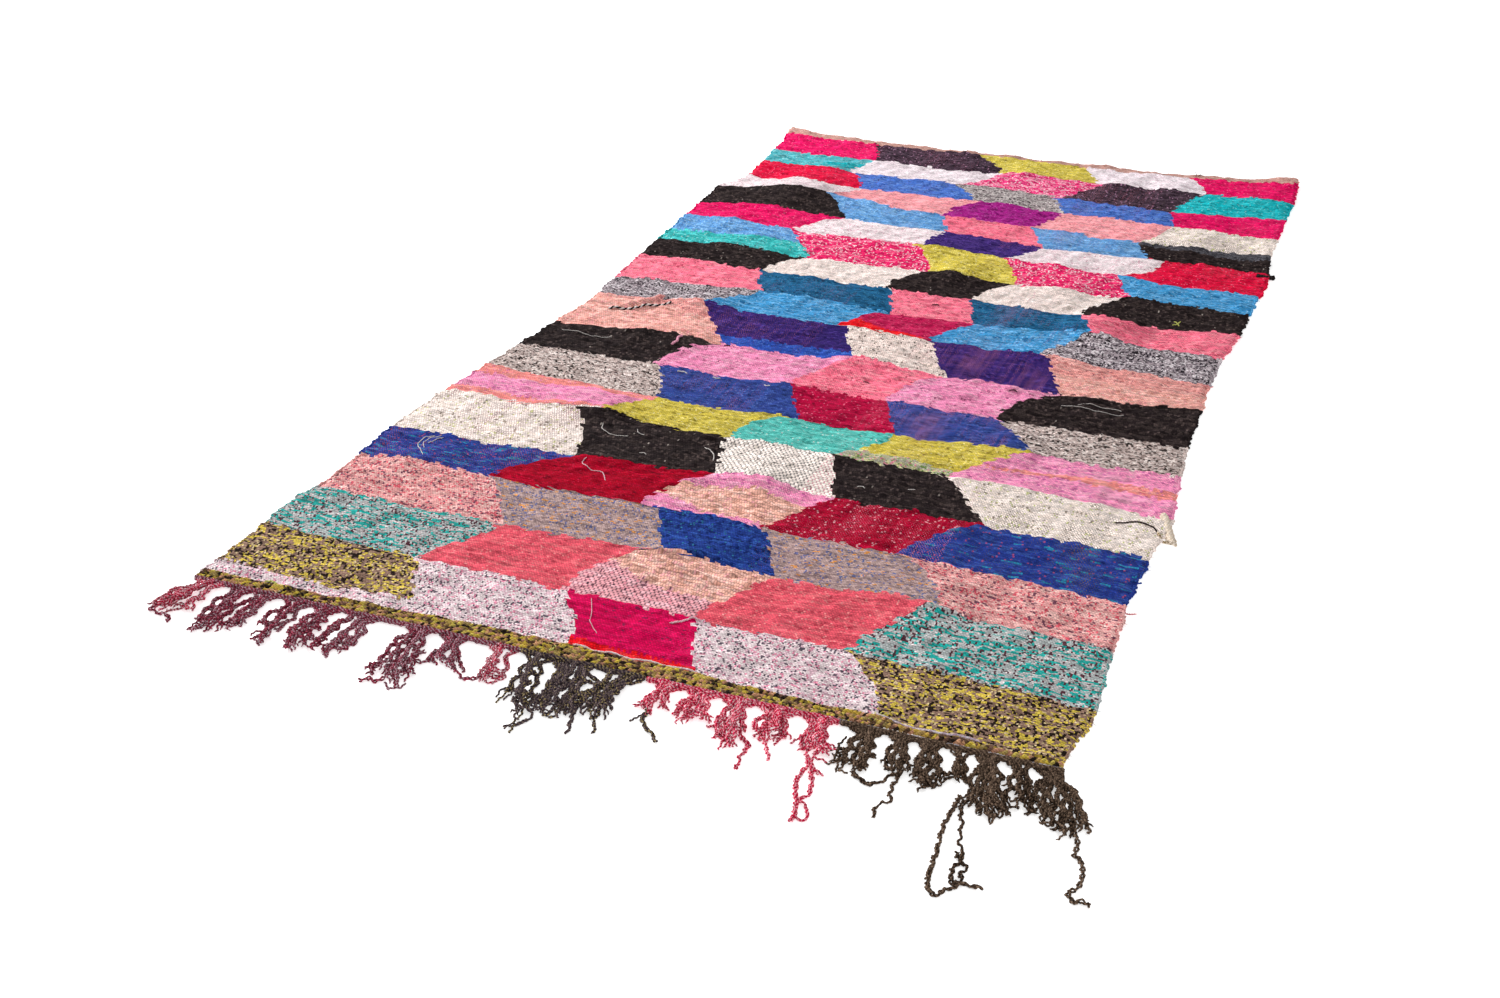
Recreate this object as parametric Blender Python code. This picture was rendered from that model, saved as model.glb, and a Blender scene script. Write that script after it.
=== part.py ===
"""A boucherouite rug lying flat on a floor.

The woven field is one sheet with an uneven outline and low ripples. A twined heading closes its near end, and
the warp ends in front of it are plaited into bands of four colours, from which bunches of twisted yarn hang as
a fringe. Two loose ends stand out at the right selvedge. Metres, +Z up. X runs across the rug and Y along it,
with the fringe at -Y. The origin is on the floor, under the middle of the field.
"""

import math

import bmesh
import bpy
from mathutils import Vector

MM = 0.001

# Driving sizes
FIELD_LENGTH = 2.87
FIELD_WIDTH = 1.50
CLOTH_THICKNESS = 6 * MM
PIECE_GAP = 0.3 * MM

# The sheet is a grid of this many cells across and along
CELLS_ACROSS = 48
CELLS_ALONG = 40

# Twined heading at the near end
HEADING_DEPTH = 16 * MM
HEADING_HEIGHT = 8 * MM

# Plaited warp bands that carry the fringe
BAND_DEPTH = 13 * MM
BAND_HEIGHT = 9 * MM

# Bunches of the fringe: a flat neck with a tighter waist, and the locks that fan out of it. Each lock fills
# part of its lane, waves with its neighbours and narrows at its tip, and the outer ones are the shorter
NECK_LENGTH = 30 * MM
NECK_WAIST = 0.76
LOCK_HEIGHT = 9 * MM
LOCK_TIP_HEIGHT = 5 * MM
LOCK_FILL = 0.76
LOCK_TIP_WIDTH = 0.6
LOCK_STEPS = 5
LOCK_WAVE = 3 * MM
LOCK_WAVES = 1.6
OUTER_SHORTER = 0.20
LOCKS_UNEVEN = 0.16
TAIL_WIDTH = 5 * MM

# Selvedges, by distance from the near end: how far each stands out past half the field's width
SELVEDGE_COLUMNS = ("along", "left", "right")
SELVEDGES = (
    (0.00, 15 * MM, -5 * MM),
    (0.15, 15 * MM, 14 * MM),
    (0.30, 20 * MM, 5 * MM),
    (0.40, 6 * MM, 0 * MM),
    (0.50, 10 * MM, -5 * MM),
    (0.65, 18 * MM, 2 * MM),
    (0.80, 11 * MM, 15 * MM),
    (0.95, -5 * MM, 2 * MM),
    (1.10, -20 * MM, -9 * MM),
    (1.25, -33 * MM, -10 * MM),
    (1.40, -49 * MM, -15 * MM),
    (1.55, -38 * MM, -12 * MM),
    (1.70, -30 * MM, 4 * MM),
    (1.90, -20 * MM, 9 * MM),
    (2.05, -15 * MM, 20 * MM),
    (2.20, -5 * MM, 6 * MM),
    (2.30, 0 * MM, 5 * MM),
    (2.40, -46 * MM, 5 * MM),
    (2.50, -35 * MM, 5 * MM),
    (2.70, -20 * MM, 9 * MM),
    (2.87, 2 * MM, 1 * MM),
)

# Far end, by place across: how far the cloth falls short of the full length
FAR_END_COLUMNS = ("across", "short")
FAR_END = (
    (-0.75, 4 * MM),
    (-0.45, 34 * MM),
    (0.00, 40 * MM),
    (0.40, 44 * MM),
    (0.60, 34 * MM),
    (0.75, 0 * MM),
)

# Ripples: where each one's middle is, across from the centre line and along from the near end, how high it
# rises, and half its size across and along
RIPPLES = (
    (-0.53, 2.31, 21 * MM, 0.16, 0.24),
    (-0.52, 2.57, 8 * MM, 0.10, 0.12),
    (0.05, 2.68, 8 * MM, 0.10, 0.13),
    (0.30, 2.68, 7 * MM, 0.08, 0.12),
    (0.44, 2.69, 9 * MM, 0.08, 0.13),
    (0.69, 2.70, 9 * MM, 0.10, 0.14),
    (-0.41, 2.68, 5 * MM, 0.13, 0.12),
    (0.73, 2.88, 13 * MM, 0.12, 0.12),
    (-0.76, 2.88, 8 * MM, 0.11, 0.12),
    (0.57, 2.25, 12 * MM, 0.07, 0.14),
    (0.76, 2.26, 12 * MM, 0.08, 0.14),
    (-0.60, 2.02, 6 * MM, 0.12, 0.12),
    (-0.04, 2.04, 8 * MM, 0.08, 0.10),
    (0.05, 1.86, 14 * MM, 0.10, 0.14),
    (-0.49, 1.88, 9 * MM, 0.14, 0.15),
    (0.32, 1.85, 9 * MM, 0.10, 0.12),
    (0.53, 1.85, 8 * MM, 0.09, 0.11),
    (0.46, 1.62, 20 * MM, 0.11, 0.14),
    (0.72, 1.66, 7 * MM, 0.09, 0.12),
    (-0.19, 1.58, 8 * MM, 0.19, 0.11),
    (-0.45, 1.47, 15 * MM, 0.15, 0.13),
    (0.39, 1.44, 12 * MM, 0.13, 0.10),
    (-0.46, 1.26, 11 * MM, 0.15, 0.12),
    (0.03, 1.28, 14 * MM, 0.18, 0.12),
    (-0.09, 1.11, 7 * MM, 0.10, 0.10),
    (0.40, 0.97, 11 * MM, 0.15, 0.12),
    (-0.05, 0.95, 7 * MM, 0.12, 0.09),
    (-0.44, 0.86, 15 * MM, 0.14, 0.12),
    (0.01, 0.69, 15 * MM, 0.13, 0.13),
    (-0.62, 0.52, 8 * MM, 0.12, 0.12),
    (-0.01, 0.37, 11 * MM, 0.12, 0.11),
    (0.42, 0.37, 8 * MM, 0.13, 0.10),
)

# Bunches, left to right: the middle of the root, how wide the bunch is at its root and at its head, how far
# the head's middle lies to the right of the root, how far it reaches in front of the field, and its locks
FRINGES = {
    "maroon": (
        (-0.724, 0.050, 0.066, -0.024, 0.132, 7),
        (-0.664, 0.034, 0.034, 0.008, 0.160, 4),
        (-0.610, 0.036, 0.044, -0.004, 0.142, 5),
        (-0.548, 0.034, 0.042, 0.006, 0.146, 4),
        (-0.489, 0.034, 0.044, 0.004, 0.150, 5),
        (-0.425, 0.046, 0.058, 0.012, 0.146, 6),
        (-0.308, 0.038, 0.058, 0.026, 0.182, 6),
        (-0.247, 0.040, 0.048, 0.024, 0.098, 5),
        (-0.160, 0.040, 0.048, 0.040, 0.130, 5),
    ),
    "charcoal": (
        (-0.096, 0.032, 0.040, 0.044, 0.196, 4),
        (-0.026, 0.056, 0.054, 0.034, 0.170, 6),
        (0.056, 0.050, 0.044, 0.018, 0.160, 5),
    ),
    "crimson": (
        (0.130, 0.032, 0.040, 0.010, 0.090, 4),
        (0.190, 0.052, 0.056, 0.012, 0.096, 6),
        (0.251, 0.050, 0.046, 0.026, 0.132, 5),
        (0.316, 0.056, 0.060, 0.020, 0.102, 6),
        (0.384, 0.042, 0.044, 0.022, 0.122, 5),
    ),
    "brown": (
        (0.460, 0.042, 0.046, 0.012, 0.140, 5),
        (0.512, 0.024, 0.030, 0.020, 0.120, 3),
        (0.554, 0.038, 0.046, 0.032, 0.138, 5),
        (0.600, 0.018, 0.020, 0.028, 0.112, 2),
        (0.643, 0.038, 0.048, 0.036, 0.164, 6),
        (0.690, 0.032, 0.034, 0.032, 0.114, 4),
        (0.736, 0.038, 0.062, 0.056, 0.154, 7),
    ),
}

# Ends of each plaited band, across
BANDS = {
    "maroon": (-0.762, -0.1265),
    "charcoal": (-0.1260, 0.0955),
    "crimson": (0.0960, 0.4155),
    "brown": (0.4160, 0.7560),
}

# Free ends that go on past a bunch: the colour, the bunch and the lock, both counted from the left, and the
# points across and along that they pass
TAILS = (
    ("maroon", 8, 5, ((-0.182, -0.112), (-0.164, -0.104))),
    ("charcoal", 1, 4, ((-0.036, -0.212),)),
    ("crimson", 1, 4, ((0.170, -0.122), (0.180, -0.152))),
    ("crimson", 3, 5, ((0.310, -0.150), (0.318, -0.172))),
    ("crimson", 5, 3, ((0.420, -0.160), (0.410, -0.205), (0.424, -0.250))),
    ("brown", 2, 2, ((0.526, -0.160), (0.529, -0.200))),
    ("brown", 4, 1, ((0.624, -0.180), (0.630, -0.250), (0.655, -0.322))),
    ("brown", 4, 2, ((0.644, -0.190), (0.672, -0.240), (0.712, -0.290))),
    ("brown", 7, 6, ((0.826, -0.205), (0.820, -0.250), (0.850, -0.285))),
)

# Loose ends at the right selvedge: distance along, length out, width along, thickness at the root and the tip
TAB_ALONG, TAB_LENGTH, TAB_WIDTH, TAB_THICKNESS = 2.10, 26 * MM, 22 * MM, 5 * MM
KNOT_ALONG, KNOT_LENGTH, KNOT_WIDTH, KNOT_THICKNESS = 0.76, 26 * MM, 20 * MM, 11 * MM


def table_value(rows, at, column):
    """Reads a column of a table at a place between its rows, easing smoothly from row to row."""
    if at <= rows[0][0]:
        return rows[0][column]
    for low, high in zip(rows, rows[1:]):
        if at <= high[0]:
            share = (at - low[0]) / (high[0] - low[0])
            ease = share * share * (3 - 2 * share)
            return low[column] + (high[column] - low[column]) * ease
    return rows[-1][column]


def selvedge(along, side):
    """Place across of the left (-1) or the right (+1) selvedge."""
    column = SELVEDGE_COLUMNS.index("left" if side < 0 else "right")
    return side * (FIELD_WIDTH / 2 + table_value(SELVEDGES, along, column))


def ripple_height(across, along):
    """Height of the sheet's underside over the floor. Where no ripple reaches it is exactly nothing."""
    height = 0.0
    for middle, place, rise, half_across, half_along in RIPPLES:
        u = abs(across - middle) / half_across
        v = abs(along - place) / half_along
        if u < 1 and v < 1:
            bell = math.cos(u * math.pi / 2) * math.cos(v * math.pi / 2)
            height = max(height, rise * bell * bell)
    return height


def place(across, along, height):
    """A point from its place across, its distance from the near end and its height."""
    return Vector((across, along - FIELD_LENGTH / 2, height))


def sheet_corner(column, row):
    """Place across and along of one corner of the sheet's grid."""
    share_along, share_across = row / CELLS_ALONG, column / CELLS_ACROSS
    start = HEADING_DEPTH + 2 * PIECE_GAP
    rough_across = FIELD_WIDTH * (share_across - 0.5)
    end = FIELD_LENGTH - table_value(FAR_END, rough_across, FAR_END_COLUMNS.index("short"))
    along = start + (end - start) * share_along
    left, right = selvedge(along, -1), selvedge(along, 1)
    return left + (right - left) * share_across, along


def material(name, colour, roughness):
    """A plain cloth colour."""
    made = bpy.data.materials.new(name)
    made.use_nodes = True
    shader = made.node_tree.nodes["Principled BSDF"]
    shader.inputs["Base Color"].default_value = (*colour, 1.0)
    shader.inputs["Roughness"].default_value = roughness
    shader.inputs["Metallic"].default_value = 0.0
    return made


def finish(bm, name, colour, roughness=0.95):
    """Turns a bmesh into a named object with its own material."""
    bmesh.ops.recalc_face_normals(bm, faces=bm.faces)
    mesh = bpy.data.meshes.new(name)
    bm.to_mesh(mesh)
    bm.free()
    mesh.materials.append(material(name, colour, roughness))
    made = bpy.data.objects.new(name, mesh)
    bpy.context.collection.objects.link(made)
    return made


def thicken(bm, thickness):
    """Raises a copy of a surface that lies on the floor, which makes a closed slab of it."""
    raised = bmesh.ops.extrude_face_region(bm, geom=bm.faces[:])["geom"]
    corners = [item for item in raised if isinstance(item, bmesh.types.BMVert)]
    bmesh.ops.translate(bm, vec=(0, 0, thickness), verts=corners)


def woven_field():
    """The sheet: a grid laid on the ripples, then raised to the cloth's thickness."""
    bm = bmesh.new()
    bmesh.ops.create_grid(bm, x_segments=CELLS_ACROSS, y_segments=CELLS_ALONG, size=1)
    for corner in bm.verts:
        column = round((corner.co.x + 1) / 2 * CELLS_ACROSS)
        row = round((corner.co.y + 1) / 2 * CELLS_ALONG)
        across, along = sheet_corner(column, row)
        corner.co = place(across, along, ripple_height(across, along))
    thicken(bm, CLOTH_THICKNESS)
    return finish(bm, "woven_field", (0.50, 0.18, 0.25))


def twined_heading():
    """The ridge of twined yarn that locks the first weft, as wide as the field."""
    bm = bmesh.new()
    bmesh.ops.create_grid(bm, x_segments=CELLS_ACROSS, y_segments=1, size=1)
    near, far = PIECE_GAP, PIECE_GAP + HEADING_DEPTH
    for corner in bm.verts:
        share = (corner.co.x + 1) / 2
        left, right = selvedge(far, -1), selvedge(far, 1)
        along = near if corner.co.y < 0 else far
        corner.co = place(left + (right - left) * share, along, 0)
    thicken(bm, HEADING_HEIGHT)
    return finish(bm, "twined_heading", (0.33, 0.25, 0.08))


def crosscut(bm, points, height):
    """A row of corners on the floor and a row above them, across a flat bundle of yarn."""
    low = [bm.verts.new(place(across, along, 0)) for across, along in points]
    high = [bm.verts.new(place(across, along, height)) for across, along in points]
    return low, high


def join(bm, near, far):
    """Skins the stretch between two crosscuts: top, underside and both flanks."""
    (low_a, high_a), (low_b, high_b) = near, far
    for i in range(len(low_a) - 1):
        bm.faces.new((high_a[i], high_a[i + 1], high_b[i + 1], high_b[i]))
        bm.faces.new((low_a[i], low_b[i], low_b[i + 1], low_a[i + 1]))
    for i in (0, -1):
        bm.faces.new((low_a[i], high_a[i], high_b[i], low_b[i]))


def close(bm, cut, first=0, last=None):
    """Closes the columns of a crosscut from first up to last."""
    low, high = cut
    last = len(low) - 1 if last is None else last
    for i in range(first, last):
        bm.faces.new((low[i], high[i], high[i + 1], low[i + 1]))


def part_of(cut, first, last):
    """The corners of a crosscut from first to last."""
    low, high = cut
    return low[first : last + 1], high[first : last + 1]


def root_columns(width, locks):
    """Edges of a bunch's columns from its left: a lock, a space, a lock and so on."""
    pitch = width / (locks - 1 + LOCK_FILL)
    edges = []
    for i in range(locks):
        edges += [i * pitch, (i + LOCK_FILL) * pitch]
    return edges


def lock(bm, root, start, tip, length_share, widths, tail):
    """One lock of yarn, waving from its root in the neck's end towards its tip, and on along its tail."""
    cut = root
    for step in range(1, LOCK_STEPS + 1):
        share = length_share * step / LOCK_STEPS
        wave = LOCK_WAVE * math.sin(2 * math.pi * LOCK_WAVES * share) * min(1, 2 * share)
        across = start[0] + (tip[0] - start[0]) * share + wave
        along = start[1] + (tip[1] - start[1]) * share
        half = (widths[0] + (widths[1] - widths[0]) * share) / 2
        half *= LOCK_TIP_WIDTH if step == LOCK_STEPS else 1
        height = LOCK_HEIGHT + (LOCK_TIP_HEIGHT - LOCK_HEIGHT) * step / LOCK_STEPS
        following = crosscut(bm, [(across - half, along), (across + half, along)], height)
        join(bm, cut, following)
        cut = following
    for step, (across_next, along_next) in enumerate(tail):
        heading = Vector((across_next - across, along_next - along)).normalized()
        side = Vector((-heading.y, heading.x)) * TAIL_WIDTH / 2
        points = [(across_next - side.x, along_next - side.y), (across_next + side.x, along_next + side.y)]
        following = crosscut(bm, points, LOCK_TIP_HEIGHT)
        join(bm, cut, following)
        cut, across, along = following, across_next, along_next
    close(bm, cut)


def bunch(bm, root, columns, row, tails):
    """One bunch of the fringe: a neck with a waist, and locks of uneven length that fan out of its end."""
    across, root_width, head_width, lean, reach, locks = row
    neck_end = BAND_DEPTH + NECK_LENGTH
    lean_share = NECK_LENGTH / (reach - BAND_DEPTH)
    cuts = [root]
    for share, waist in ((0.45, NECK_WAIST), (1.0, 1.0)):
        middle = across + lean * lean_share * share
        width = root_width + (head_width - root_width) * lean_share * share
        along = -PIECE_GAP - BAND_DEPTH - NECK_LENGTH * share
        stretch = waist * width / root_width
        points = [(middle + (edge - root_width / 2) * stretch, along) for edge in columns]
        cuts.append(crosscut(bm, points, BAND_HEIGHT))
        join(bm, cuts[-2], cuts[-1])
    end = cuts[-1]
    for i in range(locks):
        corners = part_of(end, 2 * i, 2 * i + 1)
        left, right = (corner.co.x for corner in corners[0])
        lane = i / (locks - 1) - 0.5
        tip_width = LOCK_FILL * head_width / locks
        uneven = LOCKS_UNEVEN * math.sin(2.4 * i + 60 * across) ** 2
        length_share = 1 - OUTER_SHORTER * (2 * lane) ** 2 - uneven
        tail = tails.get(i + 1, [])
        tip = (across + lean + lane * (head_width - tip_width), -reach)
        start = ((left + right) / 2, -PIECE_GAP - neck_end)
        lock(bm, corners, start, tip, 1 if tail else length_share, (right - left, tip_width), tail)
        if i < locks - 1:
            close(bm, end, 2 * i + 1, 2 * i + 2)


def fringe(colour, paint):
    """One plaited band with its bunches, all one solid."""
    rows = FRINGES[colour]
    left, right = BANDS[colour]
    edges, spans = [left], []
    for row in rows:
        across, root_width, locks = row[0], row[1], row[-1]
        columns = root_columns(root_width, locks)
        spans.append((len(edges), columns))
        edges += [across - root_width / 2 + edge for edge in columns]
    edges.append(right)
    bm = bmesh.new()
    back = crosscut(bm, [(x, -PIECE_GAP) for x in edges], BAND_HEIGHT)
    front = crosscut(bm, [(x, -PIECE_GAP - BAND_DEPTH) for x in edges], BAND_HEIGHT)
    join(bm, back, front)
    close(bm, back)
    at = 0
    for number, (row, (first, columns)) in enumerate(zip(rows, spans), start=1):
        last = first + len(columns) - 1
        close(bm, front, at, first)
        tails = {lock_number: list(route) for name, bunch_number, lock_number, route in TAILS
                 if name == colour and bunch_number == number}
        bunch(bm, part_of(front, first, last), columns, row, tails)
        at = last
    close(bm, front, at)
    return finish(bm, "fringe_" + colour, paint)


def edge_of_sheet(along):
    """Place across of the sheet's right side at a distance along, between its grid's corners."""
    corners = [sheet_corner(CELLS_ACROSS, row) for row in range(CELLS_ALONG + 1)]
    for (x_low, y_low), (x_high, y_high) in zip(corners, corners[1:]):
        if along <= y_high:
            return x_low + (x_high - x_low) * (along - y_low) / (y_high - y_low)
    return corners[-1][0]


def loose_end(name, along, length, width, thickness, shares, paint):
    """A short end of cloth or yarn that stands out from the right selvedge, widest where its shares say."""
    bm = bmesh.new()
    root = max(edge_of_sheet(along + width * s) for s in (-0.5, 0, 0.5)) + PIECE_GAP
    cuts = []
    for step, share in enumerate(shares):
        across = root + length * step / (len(shares) - 1)
        half = width * share / 2
        low = [(across, along - half), (across, along), (across, along + half)]
        cuts.append(crosscut(bm, low, thickness * (0.45 + 0.55 * share)))
        if step:
            join(bm, cuts[-2], cuts[-1])
    close(bm, cuts[0])
    close(bm, cuts[-1])
    return finish(bm, name, paint)


def main():
    for old in list(bpy.data.objects):
        bpy.data.objects.remove(old)
    woven_field()
    twined_heading()
    fringe("maroon", (0.18, 0.04, 0.07))
    fringe("charcoal", (0.05, 0.045, 0.055))
    fringe("crimson", (0.50, 0.05, 0.11))
    fringe("brown", (0.09, 0.065, 0.055))
    loose_end("side_tab", TAB_ALONG, TAB_LENGTH, TAB_WIDTH, TAB_THICKNESS, (1.0, 0.8, 0.9, 0.6),
              (0.02, 0.017, 0.016))
    loose_end("side_knot", KNOT_ALONG, KNOT_LENGTH, KNOT_WIDTH, KNOT_THICKNESS, (0.4, 0.5, 1.0, 0.7, 0.4),
              (0.70, 0.65, 0.55))


main()
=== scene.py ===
# %% [markdown]
# # A boucherouite rug
# This rug is woven on a floor loom from torn rags and left-over wool. The rows of leaning blocks, the
# twined heading and the fringe of warp ends are dressed here over a plain solid model of the same rug.
# The solid model says where everything is. This lesson makes what the eye sees: the weave, the yarns and
# the light.

import math

import bpy
import numpy as np
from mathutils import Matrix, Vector


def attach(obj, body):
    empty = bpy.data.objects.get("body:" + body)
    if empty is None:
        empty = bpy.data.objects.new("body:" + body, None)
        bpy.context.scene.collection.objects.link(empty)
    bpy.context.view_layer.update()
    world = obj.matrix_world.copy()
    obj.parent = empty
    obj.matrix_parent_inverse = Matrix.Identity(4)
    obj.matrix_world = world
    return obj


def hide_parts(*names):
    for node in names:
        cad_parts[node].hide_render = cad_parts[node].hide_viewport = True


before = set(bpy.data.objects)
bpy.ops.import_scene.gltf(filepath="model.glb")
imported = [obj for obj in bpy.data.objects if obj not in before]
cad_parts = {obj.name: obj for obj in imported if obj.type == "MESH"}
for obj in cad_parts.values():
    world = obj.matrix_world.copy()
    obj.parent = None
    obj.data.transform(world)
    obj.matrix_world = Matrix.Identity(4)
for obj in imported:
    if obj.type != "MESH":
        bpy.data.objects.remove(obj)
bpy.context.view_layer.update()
MM = 0.001
FIELD_LENGTH = 2.87
FIELD_WIDTH = 1.50
bpy.ops.object.select_all(action="DESELECT")

# %% [markdown]
# ## Camera
# The photographer stood near the right-hand corner of the fringed end and looked down along the rug. The
# rug's four corners in the photograph fix the lens and the standing height of about 1.53 metres.

# %% Place the camera
CAMERA_PLACE = (1.106, -3.473, 1.535)
CAMERA_TURN_DEG = (61.79, 0.56, 21.99)
LENS_MM = 41.84
SENSOR_MM = 36.0
bpy.ops.object.camera_add(location=CAMERA_PLACE, rotation=[math.radians(a) for a in CAMERA_TURN_DEG])
camera = bpy.context.object
camera.data.lens = LENS_MM
camera.data.sensor_width = SENSOR_MM
bpy.context.scene.camera = camera
bpy.ops.object.select_all(action="DESELECT")
print("camera at", CAMERA_PLACE, "with a lens of", LENS_MM, "mm")

# %% [markdown]
# ## Shader maths in plain Python
# A procedural material is a web of small nodes. Writing each one out hides the idea, so this class wraps
# one socket and lets `a * b + 1` add the Math nodes. `Finish` holds one material and adds any other node
# by its type.


# %% A socket that does arithmetic
class Value:
    """One output socket. Arithmetic on it adds Math nodes to its material."""

    def __init__(self, finish, socket):
        self.finish, self.socket = finish, socket

    def math(self, operation, *others):
        inputs = dict(enumerate((self, *others)))
        return self.finish.value("ShaderNodeMath", {"operation": operation}, inputs)

    def turned(self, operation, other):
        return self.finish.value("ShaderNodeMath", {"operation": operation}, {0: other, 1: self})

    def __add__(self, other):
        return self.math("ADD", other)

    def __mul__(self, other):
        return self.math("MULTIPLY", other)

    def __sub__(self, other):
        return self.math("SUBTRACT", other)

    def __truediv__(self, other):
        return self.math("DIVIDE", other)

    def __pow__(self, other):
        return self.math("POWER", other)

    def __mod__(self, other):
        return self.math("FLOORED_MODULO", other)

    def __lt__(self, other):
        return self.math("LESS_THAN", other)

    def __gt__(self, other):
        return self.math("GREATER_THAN", other)

    def __rsub__(self, other):
        return self.turned("SUBTRACT", other)

    def __rtruediv__(self, other):
        return self.turned("DIVIDE", other)

    __radd__ = __add__
    __rmul__ = __mul__

    def floor(self):
        return self.math("FLOOR")

    def fraction(self):
        return self.math("FRACT")

    def size(self):
        return self.math("ABSOLUTE")

    def between(self, low, high):
        return self.math("MAXIMUM", low).math("MINIMUM", high)


print("arithmetic on sockets ready")


# %% A material under construction
class Finish:
    """A material under construction."""

    def __init__(self, name, roughness=0.92):
        self.material = bpy.data.materials.new(name)
        self.material.use_nodes = True
        self.tree = self.material.node_tree
        self.shader = self.tree.nodes["Principled BSDF"]
        self.shader.inputs["Roughness"].default_value = roughness
        self.shader.inputs["Specular IOR Level"].default_value = 0.02

    def node(self, kind, settings=None, sockets=None):
        made = self.tree.nodes.new(kind)
        for name, setting in (settings or {}).items():
            setattr(made, name, setting)
        for name, value in (sockets or {}).items():
            self.plug(made.inputs[name], value)
        return made

    def plug(self, socket, value):
        if isinstance(value, Value):
            self.tree.links.new(value.socket, socket)
        else:
            socket.default_value = value

    def value(self, kind, settings=None, sockets=None, output=0):
        return Value(self, self.node(kind, settings, sockets).outputs[output])

    def attribute(self, name):
        return self.value("ShaderNodeAttribute", {"attribute_name": name}, output="Vector")

    def parts(self, vector):
        split = self.node("ShaderNodeSeparateXYZ", sockets={0: vector})
        return [Value(self, socket) for socket in split.outputs]

    def vector(self, x, y, z=0.0):
        return self.value("ShaderNodeCombineXYZ", sockets={0: x, 1: y, 2: z})

    def noise(self, vector, scale, detail=2.0):
        """Smooth noise, about 0 to 1."""
        sockets = {"Vector": vector, "Scale": scale, "Detail": detail}
        return self.value("ShaderNodeTexNoise", sockets=sockets, output="Fac")

    def chance(self, x, y, salt):
        """An even random number from 0 to 1 for each whole x and y."""
        return self.value("ShaderNodeTexWhiteNoise", sockets={"Vector": self.vector(x, y, salt)})

    def mix(self, first, second, share):
        made = self.node("ShaderNodeMix", {"data_type": "RGBA"}, {0: share, 6: first, 7: second})
        return Value(self, made.outputs[2])

    def shade(self, colour, strength):
        return self.value("ShaderNodeVectorMath", {"operation": "SCALE"}, {0: colour, "Scale": strength})

    def wear(self, colour, height, depth, roughness=None):
        """Plugs the colour and a bump of that depth in metres into the shader."""
        self.plug(self.shader.inputs["Base Color"], colour)
        bump = self.value("ShaderNodeBump", sockets={"Height": height, "Distance": depth, "Strength": 1.0})
        self.plug(self.shader.inputs["Normal"], bump)
        if roughness is not None:
            self.plug(self.shader.inputs["Roughness"], roughness)
        return self.material


print("material builder ready")


# %% Colours as a dyer writes them
def paint(code):
    """A colour as a dyer's card gives it, six hexadecimal digits, in the linear light that shaders use."""
    shades = [int(code[i : i + 2], 16) / 255 for i in (0, 2, 4)]
    return tuple(s / 12.92 if s <= 0.04045 else ((s + 0.055) / 1.055) ** 2.4 for s in shades)


print("a mid grey in linear light:", round(paint("808080")[0], 3))

# %% [markdown]
# ## Yarns
# The weaver used what was at hand: torn jersey, recycled wool, two-ply left-overs. Each yarn is a row
# here. `base` is its main colour, and `second` takes over for `second_mm` at a time, over `second_share`
# of it. `fleck` and `speck` are its small odd bits of colour. `pick_mm` is how thick the yarn packs,
# `warp` how much of the warp shows between its turns, `tone` how unevenly it took the dye, and `relief`
# how lumpy it is.

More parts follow.
